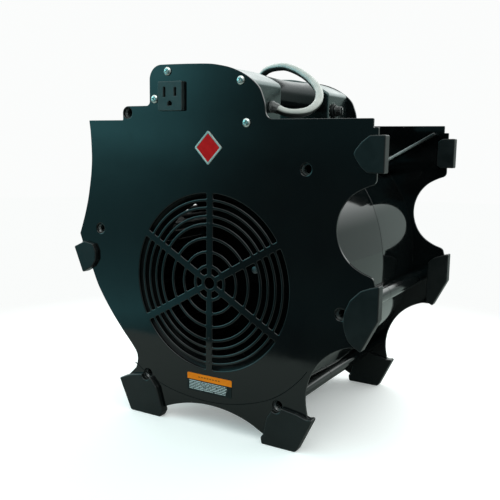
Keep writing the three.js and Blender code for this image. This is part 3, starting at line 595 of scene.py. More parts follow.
def add_finish(name, tones, rough, scales, bumps, metallic=0.0, ior=1.5, spec=0.5, tint=None,
               wear=None, dust=None, scratch=0.0, pattern=None, inside_matt=False, under=None):
    """A procedural finish.
    tones: the two colours; rough: least and greatest roughness
    scales: noise scales of the tone and of the gloss
    bumps: (noise scale, height in metres, noise detail) of each relief layer
    spec, tint: specular level and colour; scratch: roughness added by scratches
    wear: (edge radius in metres, colour, roughness, amount)
    dust: (colour, amount, noise scale)
    under: (span of the normal's z, colour) of undersides darkened with painted shade, their
    specular dimmed too
    pattern: a function that repaints the base colour
    inside_matt: dulls the faces that look at the wheel axis
    """
    material = MATERIALS[name] = bpy.data.materials.new(name)
    nodes = Nodes(material)
    output = nodes.new("ShaderNodeOutputMaterial")
    shader = nodes.new("ShaderNodeBsdfPrincipled")
    nodes.put(output.inputs[0], shader.outputs[0])
    place = nodes.new("ShaderNodeTexCoord").outputs["Object"]
    tone = nodes.noise(place, scale=scales[0], detail=4.0, rough=0.55)
    base = nodes.mix(nodes.remap(tone, span=(0.35, 0.65)), *tones)
    if pattern:
        base = pattern(nodes, place, base)
    if under:
        # Painted shade: faces that look down get a darker colour and a dimmer specular.
        underside_shade = nodes.remap(nodes.split(nodes.geometry())["Z"], span=under[0])
        base = nodes.mix(underside_shade, base, under[1])
        underside_shade_spec = 0.15
        spec = nodes.mixf(underside_shade, spec, underside_shade_spec)
    gloss = nodes.noise(place, scale=scales[1], detail=5.0, rough=0.62, distortion=0.6)
    rough = nodes.remap(gloss, span=(0.3, 0.72), to=rough)
    if scratch:
        rough = add_scratches(nodes, place, rough, scratch)
    if inside_matt:
        matt_rough, matt_spec = 0.62, 0.12
        away = nodes.vmath("SUBTRACT", place, (0.0, 0.0, AXIS_Z * MM))
        facing = nodes.vmath("DOT_PRODUCT", nodes.geometry(), away, out="Value")
        inward = nodes.math("LESS_THAN", facing, 0.0)
        rough = nodes.mixf(inward, rough, matt_rough)
        spec = nodes.mixf(inward, spec, matt_spec)
    if dust:
        base, rough = add_dust(nodes, place, base, rough, *dust)
    if wear:
        base, rough = add_wear(nodes, place, base, rough, *wear)
    for scale, height, detail in bumps:
        relief = nodes.noise(place, scale=scale, detail=detail)
        bump = nodes.fill(nodes.new("ShaderNodeBump"), Distance=height, Strength=1.0,
                          Height=relief)
        if shader.inputs["Normal"].is_linked:
            nodes.put(bump.inputs["Normal"], shader.inputs["Normal"].links[0].from_socket)
        nodes.put(shader.inputs["Normal"], bump.outputs["Normal"])
    nodes.fill(shader, Base_Color=base, Roughness=rough, Metallic=metallic, IOR=ior,
               Specular_IOR_Level=spec, Coat_Roughness=0.05)
    if tint:
        nodes.put(shader.inputs["Specular Tint"], (*tint, 1.0))


def web_highlight_colour(nodes, place, base):
    """Painted highlight, pale towards the boss end and along the free edge of the web."""
    x, y, _ = nodes.split(place)
    highlight_near_boss = nodes.remap(x, span=(0.148, 0.100))
    patches = nodes.remap(nodes.noise(place, scale=160.0, detail=4.0, rough=0.6),
                          span=(0.25, 0.6))
    crest = nodes.remap(nodes.math("ABSOLUTE", y), span=(0.0975, 0.0945))
    patch_share, even_share = 0.4, 0.6
    strength = nodes.math("MULTIPLY_ADD", patches, patch_share, even_share)
    return nodes.mix(nodes.product(highlight_near_boss, crest, strength), base, (0.50, 0.55, 0.54))


def label_colour(nodes, place, base):
    """Orange band with a broken bar, over rows of ragged grey rules on a dark ground."""
    band_z, pitch = 0.0467, 0.00158        # foot of the band, row pitch
    rule_low, rule_high = 0.34, 0.84       # part of the pitch a rule fills
    rules_left, rules_right, ragged_by = -0.0228, 0.0252, -0.0065
    rules_low, rules_high = 0.0363, 0.0460
    bar_z, bar_half_w, bar_half_h = 0.0500, 0.0130, 0.00055
    gap_pitch, gap_share, bar_strength = 0.0033, 0.38, 0.75
    hash_step, hash_gain = 12.9898, 437.5453   # pseudo-random number for each row
    x, _, z = nodes.split(place)
    calc = nodes.math
    band = calc("GREATER_THAN", z, band_z)
    rule = nodes.between(calc("FRACT", calc("DIVIDE", z, pitch)), rule_low, rule_high)
    row = calc("FLOOR", calc("DIVIDE", z, pitch))
    wave = calc("SINE", nodes.product(row, hash_step))
    ragged = calc("FRACT", nodes.product(wave, hash_gain))
    right = calc("MULTIPLY_ADD", ragged, ragged_by, rules_right)
    area = nodes.product(nodes.between(x, rules_left, right),
                         nodes.between(z, rules_low, rules_high))
    dashes = nodes.remap(nodes.noise(place, scale=900.0, detail=2.0), span=(0.36, 0.46))
    rules = nodes.mix(nodes.product(rule, area, dashes),
                      (0.008, 0.012, 0.012), (0.62, 0.68, 0.68))
    height = calc("ABSOLUTE", calc("SUBTRACT", z, bar_z))
    bar = nodes.product(calc("LESS_THAN", calc("ABSOLUTE", x), bar_half_w),
                        calc("LESS_THAN", height, bar_half_h))
    gaps = calc("GREATER_THAN", calc("FRACT", calc("DIVIDE", x, gap_pitch)), gap_share)
    top = nodes.mix(nodes.product(bar, gaps, bar_strength), base, (0.10, 0.05, 0.01))
    return nodes.mix(band, rules, top)


BLACKS = ((0.0014, 0.0021, 0.0023), (0.0024, 0.0034, 0.0034))
SCUFF = (0.075, 0.085, 0.085)
DUST, PALE_DUST = (0.16, 0.17, 0.16), (0.22, 0.23, 0.22)
add_finish(
    "shell_gloss", tones=BLACKS, rough=(0.055, 0.13), scales=(14, 22), ior=1.52,
    bumps=((9.0, 0.00042, 1.0), (26.0, 0.00006, 2.0), (420.0, 0.0000022, 2.0)),
    wear=(0.0009, SCUFF, 0.42, 0.55), dust=(DUST, 0.10, 160.0), scratch=0.10)
add_finish(
    "scroll_gloss", tones=BLACKS, rough=(0.05, 0.11), scales=(18, 26), ior=1.52,
    inside_matt=True, bumps=((13.0, 0.00026, 1.0), (420.0, 0.0000024, 2.0)),
    wear=(0.0007, SCUFF, 0.42, 0.4), dust=(DUST, 0.12, 160.0), scratch=0.12)
# The teal specular tint is a painted reflection colour: it tints every reflection teal like the
# room in front.
add_finish(
    "box_gloss", tones=((0.0045, 0.0060, 0.0062), (0.0065, 0.0085, 0.0085)),
    rough=(0.15, 0.27), scales=(20, 34), ior=1.7, spec=0.64, tint=(0.72, 1.0, 0.97),
    bumps=((22.0, 0.00010, 1.0), (520.0, 0.0000035, 2.0)),
    wear=(0.0010, SCUFF, 0.45, 0.6), dust=(PALE_DUST, 0.14, 200.0), scratch=0.12)
# The teal specular tint is a painted reflection colour: it tints every reflection teal like the
# room in front.
add_finish(
    "grip_satin", tones=((0.0045, 0.0065, 0.0070), (0.0070, 0.0095, 0.0100)),
    rough=(0.17, 0.28), scales=(26, 60), ior=1.42, spec=0.06, tint=(0.30, 1.0, 0.98),
    bumps=((22.0, 0.00010, 1.0), (900.0, 0.000010, 3.0)),
    wear=(0.0010, SCUFF, 0.55, 0.5), dust=(PALE_DUST, 0.12, 220.0), scratch=0.08)
add_finish(
    "foot_rubber", tones=((0.0030, 0.0046, 0.0047), (0.0052, 0.0072, 0.0072)),
    rough=(0.32, 0.46), scales=(45, 60), spec=0.42,
    bumps=((30.0, 0.00012, 2.0), (900.0, 0.000020, 3.0), (2600.0, 0.000008, 2.0)),
    wear=(0.0012, (0.06, 0.066, 0.064), 0.62, 0.8), dust=((0.20, 0.20, 0.19), 0.25, 260.0))
add_finish(
    "screw_silver", tones=((0.60, 0.64, 0.61), (0.74, 0.78, 0.74)), rough=(0.20, 0.36),
    scales=(260, 500), metallic=1.0, bumps=((900.0, 0.000018, 3.0),),
    wear=(0.0004, (0.85, 0.86, 0.84), 0.2, 0.6), scratch=0.15)
add_finish(
    "screw_dark", tones=((0.34, 0.35, 0.34), (0.46, 0.47, 0.45)), rough=(0.26, 0.42),
    scales=(260, 500), metallic=1.0, bumps=((900.0, 0.000018, 3.0),),
    wear=(0.0004, (0.5, 0.5, 0.48), 0.3, 0.6))
# The under entry paints shade on the underside of the cord.
add_finish(
    "cord_grey", tones=((0.41, 0.43, 0.395), (0.50, 0.515, 0.475)), rough=(0.26, 0.40),
    scales=(70, 120), spec=0.8, under=((0.12, -0.30), (0.022, 0.024, 0.023)),
    bumps=((60.0, 0.00012, 1.0), (1500.0, 0.000014, 3.0)),
    dust=((0.20, 0.20, 0.18), 0.30, 240.0), scratch=0.1)
add_finish(
    "relief_plastic", tones=((0.085, 0.088, 0.086), (0.13, 0.133, 0.13)), rough=(0.12, 0.24),
    scales=(90, 150), bumps=((1500.0, 0.000010, 2.0),),
    wear=(0.0005, (0.45, 0.46, 0.45), 0.5, 0.6))
add_finish(
    "socket_black", tones=((0.026, 0.036, 0.036), (0.036, 0.047, 0.046)), rough=(0.28, 0.40),
    scales=(90, 160), bumps=((1400.0, 0.000014, 3.0),),
    wear=(0.0006, (0.14, 0.15, 0.15), 0.5, 0.7))
add_finish(
    "seam_dark", tones=((0.0014, 0.0018, 0.0018), (0.0030, 0.0034, 0.0034)),
    rough=(0.55, 0.75), scales=(120, 200), spec=0.12, bumps=((900.0, 0.00001, 2.0),))
add_finish(
    "hole_dark", tones=((0.002, 0.002, 0.002), (0.004, 0.004, 0.004)), rough=(0.5, 0.7),
    scales=(200, 300), bumps=((900.0, 0.00002, 2.0),))
add_finish(
    "contact_brass", tones=((0.30, 0.20, 0.08), (0.42, 0.30, 0.13)), rough=(0.3, 0.5),
    scales=(300, 500), metallic=1.0, bumps=((1400.0, 0.00001, 2.0),))
add_finish(
    "knob_plastic", tones=((0.006, 0.007, 0.007), (0.010, 0.011, 0.011)), rough=(0.14, 0.26),
    scales=(120, 220), bumps=((1800.0, 0.000014, 3.0),),
    wear=(0.0005, (0.14, 0.14, 0.14), 0.5, 0.7))
add_finish(
    "dial_white", tones=((0.62, 0.63, 0.60), (0.70, 0.71, 0.68)), rough=(0.45, 0.6),
    scales=(200, 300), bumps=((2400.0, 0.000008, 2.0),))
add_finish(
    "badge_red", tones=((0.58, 0.008, 0.010), (0.66, 0.012, 0.013)), rough=(0.42, 0.55),
    scales=(160, 220), spec=0.10, bumps=((700.0, 0.000012, 2.0),))
add_finish(
    "badge_rim", tones=((0.50, 0.52, 0.48), (0.62, 0.63, 0.58)), rough=(0.28, 0.44),
    scales=(240, 420), metallic=0.55, bumps=((900.0, 0.000014, 3.0),),
    wear=(0.0004, (0.8, 0.8, 0.76), 0.3, 0.6))
add_finish(
    "motor_paint", tones=((0.008, 0.009, 0.010), (0.013, 0.014, 0.015)), rough=(0.40, 0.58),
    scales=(60, 90), metallic=0.05, spec=0.3,
    bumps=((300.0, 0.00004, 3.0), (1200.0, 0.00001, 2.0)),
    wear=(0.0008, (0.16, 0.16, 0.16), 0.4, 0.7))
add_finish(
    "steel", tones=((0.36, 0.37, 0.38), (0.46, 0.47, 0.48)), rough=(0.26, 0.40),
    scales=(80, 240), metallic=1.0, bumps=((600.0, 0.00001, 3.0),), scratch=0.15)
add_finish(
    "bracket_steel", tones=((0.10, 0.105, 0.11), (0.15, 0.155, 0.16)), rough=(0.36, 0.52),
    scales=(70, 160), metallic=1.0, bumps=((500.0, 0.000018, 3.0),),
    wear=(0.0006, (0.4, 0.4, 0.4), 0.3, 0.6))
add_finish(
    "winding_copper", tones=((0.40, 0.16, 0.07), (0.52, 0.22, 0.10)), rough=(0.30, 0.48),
    scales=(120, 260), metallic=1.0, bumps=((700.0, 0.00006, 2.0),))
add_finish(
    "capacitor_case", tones=((0.60, 0.60, 0.56), (0.68, 0.68, 0.64)), rough=(0.34, 0.5),
    scales=(60, 140), bumps=((1200.0, 0.00001, 2.0),),
    wear=(0.0006, (0.4, 0.4, 0.38), 0.6, 0.6))
add_finish(
    "wheel_plastic", tones=((0.0018, 0.0022, 0.0023), (0.0030, 0.0035, 0.0035)),
    rough=(0.56, 0.72), scales=(50, 110), spec=0.05, bumps=((1300.0, 0.00002, 3.0),),
    wear=(0.0007, (0.05, 0.05, 0.05), 0.6, 0.6), dust=((0.04, 0.04, 0.04), 0.20, 260.0))
add_finish(
    "satin_plastic", tones=((0.004, 0.005, 0.0052), (0.006, 0.007, 0.007)),
    rough=(0.34, 0.48), scales=(60, 120), spec=0.25, bumps=((1300.0, 0.00002, 3.0),),
    wear=(0.0007, (0.07, 0.07, 0.07), 0.5, 0.6))
add_finish(
    "plug_vinyl", tones=((0.010, 0.011, 0.011), (0.016, 0.017, 0.017)), rough=(0.36, 0.5),
    scales=(90, 160), bumps=((1300.0, 0.00002, 3.0),),
    wear=(0.0007, (0.10, 0.10, 0.10), 0.5, 0.6))
# Its pattern paints a highlight along the free edge of the corner web, palest at the boss end.
add_finish(
    "web_painted_highlight", tones=((0.0060, 0.0080, 0.0080), (0.0100, 0.0130, 0.0130)),
    rough=(0.25, 0.42), scales=(60, 90), bumps=((500.0, 0.00001, 2.0),), pattern=web_highlight_colour)
# Pale base tone: a painted highlight for the glints of light in the boss recesses.
add_finish(
    "mouth_painted_glint", tones=((0.030, 0.036, 0.035), (0.060, 0.068, 0.066)), rough=(0.14, 0.30),
    scales=(160, 220), ior=1.7, spec=0.8,
    bumps=((90.0, 0.00010, 2.0), (900.0, 0.000010, 2.0)),
    wear=(0.0006, (0.14, 0.15, 0.147), 0.35, 0.9), dust=((0.20, 0.21, 0.20), 0.25, 260.0))
add_finish(
    "label_orange", tones=((0.96, 0.225, 0.004), (1.0, 0.255, 0.006)), rough=(0.45, 0.6),
    scales=(90, 160), spec=0.2, bumps=((120.0, 0.00002, 2.0), (1500.0, 0.000006, 2.0)),
    pattern=label_colour)


# ------------------------------------------------------------- housing halves
def arc(radius, start, end):
    step = 3.0
    count = max(3, math.ceil(abs(end - start) * radius / step))
    angles = [start + (end - start) * i / count for i in range(count + 1)]
    return [(radius * math.cos(a), AXIS_Z + radius * math.sin(a)) for a in angles]


def grille():
    slots = []
    for sector in range(6):
        start = math.radians(30 + 60 * sector)
        end = start + math.radians(60)
        for outer, inner in RINGS + [WINDOW]:
            half_spoke = SPOKE_W / (2.6 if (outer, inner) == WINDOW else 2.0)
            outer_gap, inner_gap = math.asin(half_spoke / outer), math.asin(half_spoke / inner)
            radius = min(1.1, (outer - inner) * 0.28)
            slot = []
            for first, *middle, last in (arc(outer, start + outer_gap, end - outer_gap),
                                         arc(inner, end - inner_gap, start + inner_gap)):
                slot += [(*first, radius), *middle, (*last, radius)]
            slots.append(rounded(slot, 30))
    return slots + [circle(0, AXIS_Z, EYE_R)]


def side_plate(side):
    slots = grille()
    recesses = [circle(x, z, RECESS_R) for x, z, _ in BOSSES.values()]
    hole_rims = [0.85] * (len(slots) - 1) + [0.6] + [1.0] * len(BOSSES)
    mesh = prism(bmesh.new(), smooth(rounded(PLATE, 9), True, 30.0, 2.0), (FACE_Y, INNER_Y),
                 (0.45, 0.45), 4, slots + recesses, hole_rims)
    make(f"side_plate_{side}", mesh, "shell_gloss", 40, side, replaces=f"shell_{side}")


def plate_bead(side):
    """A low moulded bead that follows the wheel housing under the grille."""
    line = smooth(BEAD, False, 60, 2.0)
    foot_y, flank_y, crest_y = FACE_Y + 0.15, FACE_Y - 0.12, FACE_Y - 0.2
    rows = []
    for (x, z), left, right in zip(line, shift(line, 0.55, False), shift(line, -0.55, False)):
        rows.append([(left[0], foot_y, left[1]),
                     ((left[0] + x) / 2, flank_y, (left[1] + z) / 2), (x, crest_y, z),
                     ((right[0] + x) / 2, flank_y, (right[1] + z) / 2),
                     (right[0], foot_y, right[1])])
    make(f"plate_bead_{side}", skinned(rows), "seam_dark", 80, side)


def scroll_wall(side):
    """Half of the scroll wall, with a root fillet at the plate and a lipped seam."""
    line = smooth(SCROLL, False, 50, 3.0)
    fillet = 0.3
    sections = []   # (y, how far the outer skin stands out)
    for k in range(4):
        angle = math.pi / 2 * k / 3
        buried = 0.4 if k == 0 else 0
        sections.append((INNER_Y + fillet * (1 - math.cos(angle)) - buried,
                         fillet * (1 - math.sin(angle))))
    sections += [(-88, 0.0), (-60, 0.0), (-32, 0.0), (-8.0, 0.0), (-0.75, 0.0), (-0.45, -0.12),
                 (-SEAM, -0.5)]
    rows = []
    for y, extra in sections:
        draft = DRAFT * ((y + HALF_W) / HALF_W)
        outer = shift(line, draft + extra, False)
        inner = shift(line, draft - WALL_T - max(0.0, extra), False)
        rows.append([(x, y, z) for x, z in outer + inner[::-1]])
    mesh = bmesh.new()
    rings = skin(mesh, rows, caps=False)
    count = len(line)
    for ring in (rings[0], rings[-1]):
        for i in range(count - 1):
            mesh.faces.new((ring[i], ring[i + 1], ring[2 * count - 2 - i],
                            ring[2 * count - 1 - i]))
    make(f"scroll_wall_{side}", mesh, "scroll_gloss", 50, side)


def joining_bosses(side):
    mesh = bmesh.new()
    for x, z, radius in BOSSES.values():
        lathe(mesh, [(RECESS_R, INNER_Y - 1.2), (RECESS_R, -BOSS_FLOOR), (2.2, -BOSS_FLOOR),
                     (2.2, -SEAM), (radius - 0.6, -SEAM, 0.4), (radius, INNER_Y + 1.5, 2.0),
                     (radius + 0.2, INNER_Y - 0.3)], (x, 0, z), count=44)
    make(f"joining_bosses_{side}", mesh, "shell_gloss", 30, side)


def boss_mouths(side):
    """Stepped mouths of the boss recesses, painted pale as a highlight for the glints of light in
    them.
    """
    mesh = bmesh.new()
    for x, z, _ in BOSSES.values():
        lathe(mesh, [(RECESS_R - 0.05, FACE_Y + 1.6), (RECESS_R - 0.1, FACE_Y + 2.6, 0.5),
                     (3.5, FACE_Y + 4.6, 0.8), (3.5, FACE_Y + 9), (RECESS_R + 0.3, FACE_Y + 9),
                     (RECESS_R + 0.3, INNER_Y)], (x, 0, z), count=44)
    make(f"boss_mouths_{side}", mesh, "mouth_painted_glint", 30, side)


def corner_web(side):
    """Stiffening web between the upper right boss and the upper right corner."""
    start, end, half_t = Vector((97.2, 260.9)), Vector((151.6, 291.6)), 1.45
    along = (end - start).normalized()
    across = Vector((-along.y, along.x)) * half_t
    corners = [(*corner, 0.5) for corner in
               (start - across, end - across, end + across, start + across)]
    mesh = prism(bmesh.new(), rounded(corners, 30), (INNER_Y - 0.3, FACE_Y + 11.5),
                 (0, 1.2), 5)
    # The web's finish carries a painted highlight along its free edge.
    make(f"corner_web_{side}", mesh, "web_painted_highlight", 35, side)


def grille_pips():
    """Ejector marks on the lower and upper spokes of the near grille."""
    mesh = bmesh.new()
    for z, radius in ((90.8, 1.15), (80.3, 1.15), (66.6, 0.9), (203.0, 0.9)):
        lathe(mesh, [(0, 0.2), (radius, 0.2), (radius, -0.42, 0.3), (0, -0.55)],
              (0.0, FACE_Y, z), count=18)
    make("grille_pips", mesh, "shell_gloss", 50)


for side in SIDES:
    side_plate(side)
    plate_bead(side)
    scroll_wall(side)
    joining_bosses(side)
    boss_mouths(side)
    corner_web(side)
grille_pips()


# ----------------------------------------------------------------- fasteners
def cut(*meshes):
    """Cuts the first bmesh with the second and gives the result as a new bmesh."""
    objects = []
    for mesh in meshes:
        bmesh.ops.recalc_face_normals(mesh, faces=mesh.faces)
        data = bpy.data.meshes.new("tmp")
        mesh.to_mesh(data)
        mesh.free()
        objects.append(bpy.data.objects.new("tmp", data))
        bpy.context.scene.collection.objects.link(objects[-1])
    boolean = objects[0].modifiers.new("cut", "BOOLEAN")
    boolean.operation, boolean.solver, boolean.object = "DIFFERENCE", "EXACT", objects[1]
    bpy.context.view_layer.update()
    graph = bpy.context.evaluated_depsgraph_get()
    result = bpy.data.meshes.new_from_object(objects[0].evaluated_get(graph))
    mesh = bmesh.new()
    mesh.from_mesh(result)
    for item in objects:
        data = item.data
        bpy.data.objects.remove(item)
        bpy.data.meshes.remove(data)
    bpy.data.meshes.remove(result)
    return mesh


def cross_cutter(top, depth, arm, width, x, z, turn):
    """Tapered cross recess that opens towards -Y."""
    cos, sin = math.cos(turn), math.sin(turn)
    rows = []
    for y, scale in ((top - 0.6, 1.12), (top + depth * 0.55, 0.82), (top + depth, 0.34)):
        a, w = arm * scale, width * (0.6 + 0.4 * scale)
        cross = [(a, -w), (a, w), (w, w), (w, a), (-w, a), (-w, w),
                 (-a, w), (-a, -w), (-w, -w), (-w, -a), (w, -a), (w, -w)]
        rows.append([(x + p * cos - q * sin, y, z + p * sin + q * cos) for p, q in cross])
    return skinned(rows)


def pan_screw(name, side, x, z, turn):
    seat = FACE_Y - 0.1
    top = seat - PAN_H
    mesh = lathe(bmesh.new(), [
        (0, seat + 6), (1.8, seat + 6), (1.8, seat), (PAN_R + 0.1, seat, 0.2),
        (PAN_R, seat - 0.9, 0.6), (2.7, top + 0.25, 1.0), (0, top)], (x, 0, z), count=40)
    mesh = cut(mesh, cross_cutter(top, 1.7, 2.5, 0.55, x, z, turn))
    make(f"pan_screw_{name}_{side}", mesh, "screw_silver", 28, side,
         replaces=f"box_screw_{name}_{side}")


def sunk_screw(name, x, z, turn):
    seat = -BOSS_FLOOR - 0.1
    top = seat - 2.6
    mesh = lathe(bmesh.new(), [
        (0, 27.5), (1.4, 26.5), (1.9, 24), (1.9, seat), (3.9, seat, 0.2),
        (3.9, seat - 1.3, 0.7), (2.6, top, 0.5), (0, top)], (x, 0, z), count=32)
    mesh = cut(mesh, cross_cutter(top, 1.6, 2.2, 0.5, x, z, turn))
    make(f"sunk_screw_{name}", mesh, "screw_dark", 28, replaces=f"shell_screw_{name}")


for i, (name, (x, z)) in enumerate(BOX_SCREWS.items()):
    for side in SIDES:
        pan_screw(name, side, x, z, 0.35 + 0.9 * i + (0.5 if side == "far" else 0))
for i, (name, (x, z, _)) in enumerate(BOSSES.items()):
    sunk_screw(name, x, z, 0.2 + i)


# ---------------------------------------------------------------------- feet
def foot_cap(name, side):
    line = ccw(smooth(rounded(FEET[name], 15), True, 34.0, 1.8))
    if name.startswith("bottom"):
        x, z, _ = BOSSES[name]
        line = ccw(bite(line, x, z, RECESS_R + 0.3))
    mesh = bmesh.new()
    outer_y, inner_y = FACE_Y - FOOT_PROUD, FACE_Y + FOOT_INSIDE
    if name in FOOT_INNER_X:
        prism(mesh, line, (outer_y, FACE_Y - 0.05), (1.0, 0.25), 4)
        tongue = shift(clip_right(line, FOOT_INNER_X[name]), 0.02)
        prism(mesh, tongue, (FACE_Y - 1.2, inner_y), (0, 0.9), 4)
    else:
        prism(mesh, line, (outer_y, inner_y), (1.0, 0.9), 4)
    make(f"foot_cap_{name}_{side}", mesh, "foot_rubber", 40, side,
         replaces=f"foot_{name}_{side}")


for name in FEET:
    for side in SIDES:
        foot_cap(name, side)

# ------------------------------------------------------- top boxes and grip
box_line = smooth(rounded(BOX, 9), False, 40, 1.6)


def box_inset(distance):
    """The box outline moved inwards, with its open ends kept level."""
    line = shift(box_line, -distance, False)
    for end in (0, -1):
        line[end] = (line[end][0], box_line[end][1])
    return line


def box_cover(side, name, replaces):
    start_y, end_y = INNER_Y + 0.15, FACE_Y + BOX_D
    inner = box_inset(WALL_T)[::-1]
    rows = []
    for y, inset in ((start_y, 0.35), (start_y + 0.1, 0.1), (start_y + 0.35, 0.0),
                     (end_y - WALL_T, 0.0)):
        rows.append([(x, y, z) for x, z in box_inset(inset) + inner])
    mesh = bmesh.new()
    skin(mesh, rows, caps=False)
    prism(mesh, box_line, (end_y - WALL_T, end_y), (0, 2.2), 5)   # end wall
    make(name, mesh, "box_gloss", 40, side, replaces=replaces)


def carry_grip():
    """A bar between the boxes, waisted in the middle and lower on its +X side."""
    start, end, sections = FACE_Y + BOX_D - 0.3, HALF_W - BOX_D + 0.3, 48
    exponent = 2 / 2.6
    rows = []
    for k in range(sections + 1):
        u = k / sections
        y, waist = start + (end - start) * u, math.sin(math.pi * u)
        flare = 0.4 * (math.exp(-(u * 60)) + math.exp(-((1 - u) * 60)))
        half_w, half_h = 19.0 - 3.0 * waist + flare, 14.2 - 0.9 * waist + flare
        centre_x, centre_z = 20.8, 330.6 - 0.7 * waist
        row = []
        for i in range(72):
            angle = 2 * math.pi * i / 72
            x = half_w * signed_power(math.cos(angle), exponent)
            z = half_h * signed_power(math.sin(angle), exponent) - 0.28 * max(0.0, x)
            row.append((centre_x + x, y, centre_z + z))
        rows.append(row)
    make("carry_grip", skinned(rows), "grip_satin", 50, replaces="hand_grip")


box_cover("near", "cord_box_cover", "cord_box")
box_cover("far", "switch_box_cover", "switch_box")
carry_grip()


# ------------------------------------------------------------- power socket
def power_socket():
    slots = [rectangle(SOCKET_X + offset, SOCKET_Z + 3.9, 2.7, height, 0.4, 45)
             for offset, height in ((-BLADE_OFFSET, 9.4), (BLADE_OFFSET, 8.0))]
    ground_z, ground_r = SOCKET_Z - 7.0, 2.5
    angles = [math.radians(degrees) for degrees in range(0, 181, 12)]
    ground = [(SOCKET_X + ground_r * math.cos(a), ground_z + ground_r * math.sin(a))
              for a in angles]
    ground += [(SOCKET_X - ground_r, ground_z - 1.9), (SOCKET_X + ground_r, ground_z - 1.9)]
    face = rectangle(SOCKET_X, SOCKET_Z, SOCKET_W, SOCKET_H, 1.3, 15)
    mesh = prism(bmesh.new(), face, (FACE_Y - 4.2, FACE_Y - 0.1), (0.55, 0), 4,
                 [*slots, ground])
    make("socket_face", mesh, "socket_black", 40, replaces="power_socket")

    mesh = bmesh.new()
    prism(mesh, rectangle(SOCKET_X, SOCKET_Z, 21.4, 21.4, 1.0, 45),
          (FACE_Y + 0.3, FACE_Y + 22), (0.3, 0.6), 2)
    prism(mesh, rectangle(SOCKET_X, SOCKET_Z, 24.0, 24.0, 1.0, 45),
          (FACE_Y - 0.6, FACE_Y + 0.5), (0, 0), 1)
    make("socket_body", mesh, "hole_dark", 40)

    mesh = bmesh.new()
    for offset in (-BLADE_OFFSET, BLADE_OFFSET):
        prism(mesh, rectangle(SOCKET_X + offset, SOCKET_Z + 3.4, 0.8, 6.0, 0.1, 45),
              (FACE_Y - 1.6, FACE_Y - 0.5), (0.15, 0), 2)
    make("socket_contacts", mesh, "contact_brass", 40)


# ------------------------------------------------------------ badge and label
def badge():
    diamond = [(-1.6, 290.0, 1.6), (14.0, 273.9, 1.6), (-1.6, 257.6, 1.6), (-17.0, 273.9, 1.6)]
    outer = ccw(rounded(diamond, 12))
    mesh = prism(bmesh.new(), outer, (FACE_Y - 1.0, FACE_Y - 0.05), (0.35, 0), 3,
                 [shift(outer, 1.9)])
    make("badge_rim", mesh, "badge_rim", 40, replaces="badge_plate")
    mesh = prism(bmesh.new(), shift(outer, 1.75), (FACE_Y - 0.82, FACE_Y - 0.05), (0.3, 0), 3)
    make("badge_enamel", mesh, "badge_red", 40)


def label():
    mesh = prism(bmesh.new(), rectangle(0.8, 44.1, 52, 17.8, 0.8, 20),
                 (FACE_Y - 0.38, FACE_Y - 0.05), (0.12, 0), 2)
    make("label_sticker", mesh, "label_orange", 40, replaces="info_label")


# -------------------------------------------------------------- speed control
def dial():
    """Bezel and printed marks on the +X end wall of the switch box."""
    mesh = lathe(bmesh.new(), [
        (3.6, BOX_X - 4.2), (6.2, BOX_X - 4.2), (6.2, BOX_X + 0.05), (7.7, BOX_X + 0.05, 0.1),
        (7.7, BOX_X + 2.3, 0.5), (6.9, BOX_X + 3.3, 0.6), (6.2, BOX_X + 3.2, 0.3),
        (3.6, BOX_X + 3.0)], (0, KNOB_Y, KNOB_Z), "X", 64)
    make("dial_bezel", mesh, "satin_plastic", 35, replaces="switch_bezel")

    mesh = bmesh.new()
    for i in range(10):
        angle = math.radians(-225 + 30 * i)
        outward = Vector((0, math.sin(angle), math.cos(angle)))
        across = Vector((0, math.cos(angle), -math.sin(angle)))
        half_w = 0.3 if i in (0, 9) else 0.22
        corners = ((8.6, -half_w), (10.0, -half_w), (10.0, half_w), (8.6, half_w))
        skin(mesh, [[Vector((x, KNOB_Y, KNOB_Z)) + outward * radius + across * offset
                     for radius, offset in corners] for x in (BOX_X - 0.08, BOX_X + 0.14)])
    make("dial_marks", mesh, "dial_white", 40)


# Turned part of the knob: (x from the box wall, radius, flute depth).
KNOB = [(-15.8, 3.1, 0), (3.8, 3.1, 0), (3.8, 5.7, 0), (4.0, 5.9, 0), (5.0, 5.85, 0),
        (5.6, 5.5, 0), (5.9, 5.2, 0), (6.1, 5.1, 0.26), (10.0, 4.9, 0.26), (10.6, 4.7, 0.26),
        (10.9, 4.3, 0), (11.0, 3.9, 0), (10.9, 3.5, 0)]


def knob_rectangle(x, half_y, low, high):
    x += BOX_X
    return [(x, KNOB_Y - half_y, KNOB_Z + low), (x, KNOB_Y + half_y, KNOB_Z + low),
            (x, KNOB_Y + half_y, KNOB_Z + high), (x, KNOB_Y - half_y, KNOB_Z + high)]


def speed_knob():
    count, flutes = 96, 16
    rows = []
    for x, radius, flute in KNOB:
        row = []
        for i in range(count):
            angle = 2 * math.pi * i / count
            fluted = radius - flute * max(0.0, math.cos(angle * flutes)) ** 2
            row.append((BOX_X + x, KNOB_Y + fluted * math.cos(angle),
                        KNOB_Z + fluted * math.sin(angle)))
        rows.append(row)
    mesh = skinned(rows)
    bar = ((10.5, 0.8, 4.3), (11.5, 0.72, 4.1), (11.7, 0.55, 3.9), (11.8, 0.3, 3.7))
    skin(mesh, [knob_rectangle(x, half_y, -half_z, half_z) for x, half_y, half_z in bar])
    make("speed_knob_cap", mesh, "knob_plastic", 40, body="knob", replaces="speed_knob")
    mesh = skinned([knob_rectangle(11.5, 0.36, 1.2, 3.7), knob_rectangle(12.0, 0.3, 1.3, 3.6)])
    make("knob_pointer_line", mesh, "dial_white", 40, body="knob")


# ----------------------------------------------------------------------- cord
def jacket_radius(along):
    return CORD_R + 0.05 * math.sin(along * 0.21) + 0.03 * math.sin(along * 0.83)


def relief_radius(along):
    """Collar, flange, then a ribbed taper."""
    collar_end, flange_end, pitch = 2.7, 4.5, 1.8
    if along < collar_end:
        return 4.8
    if along < flange_end:
        return 5.6
    rib = 0.3 if (along - flange_end) % pitch < 1.0 else 0.0
    return 4.8 - 0.09 * (along - flange_end) + rib


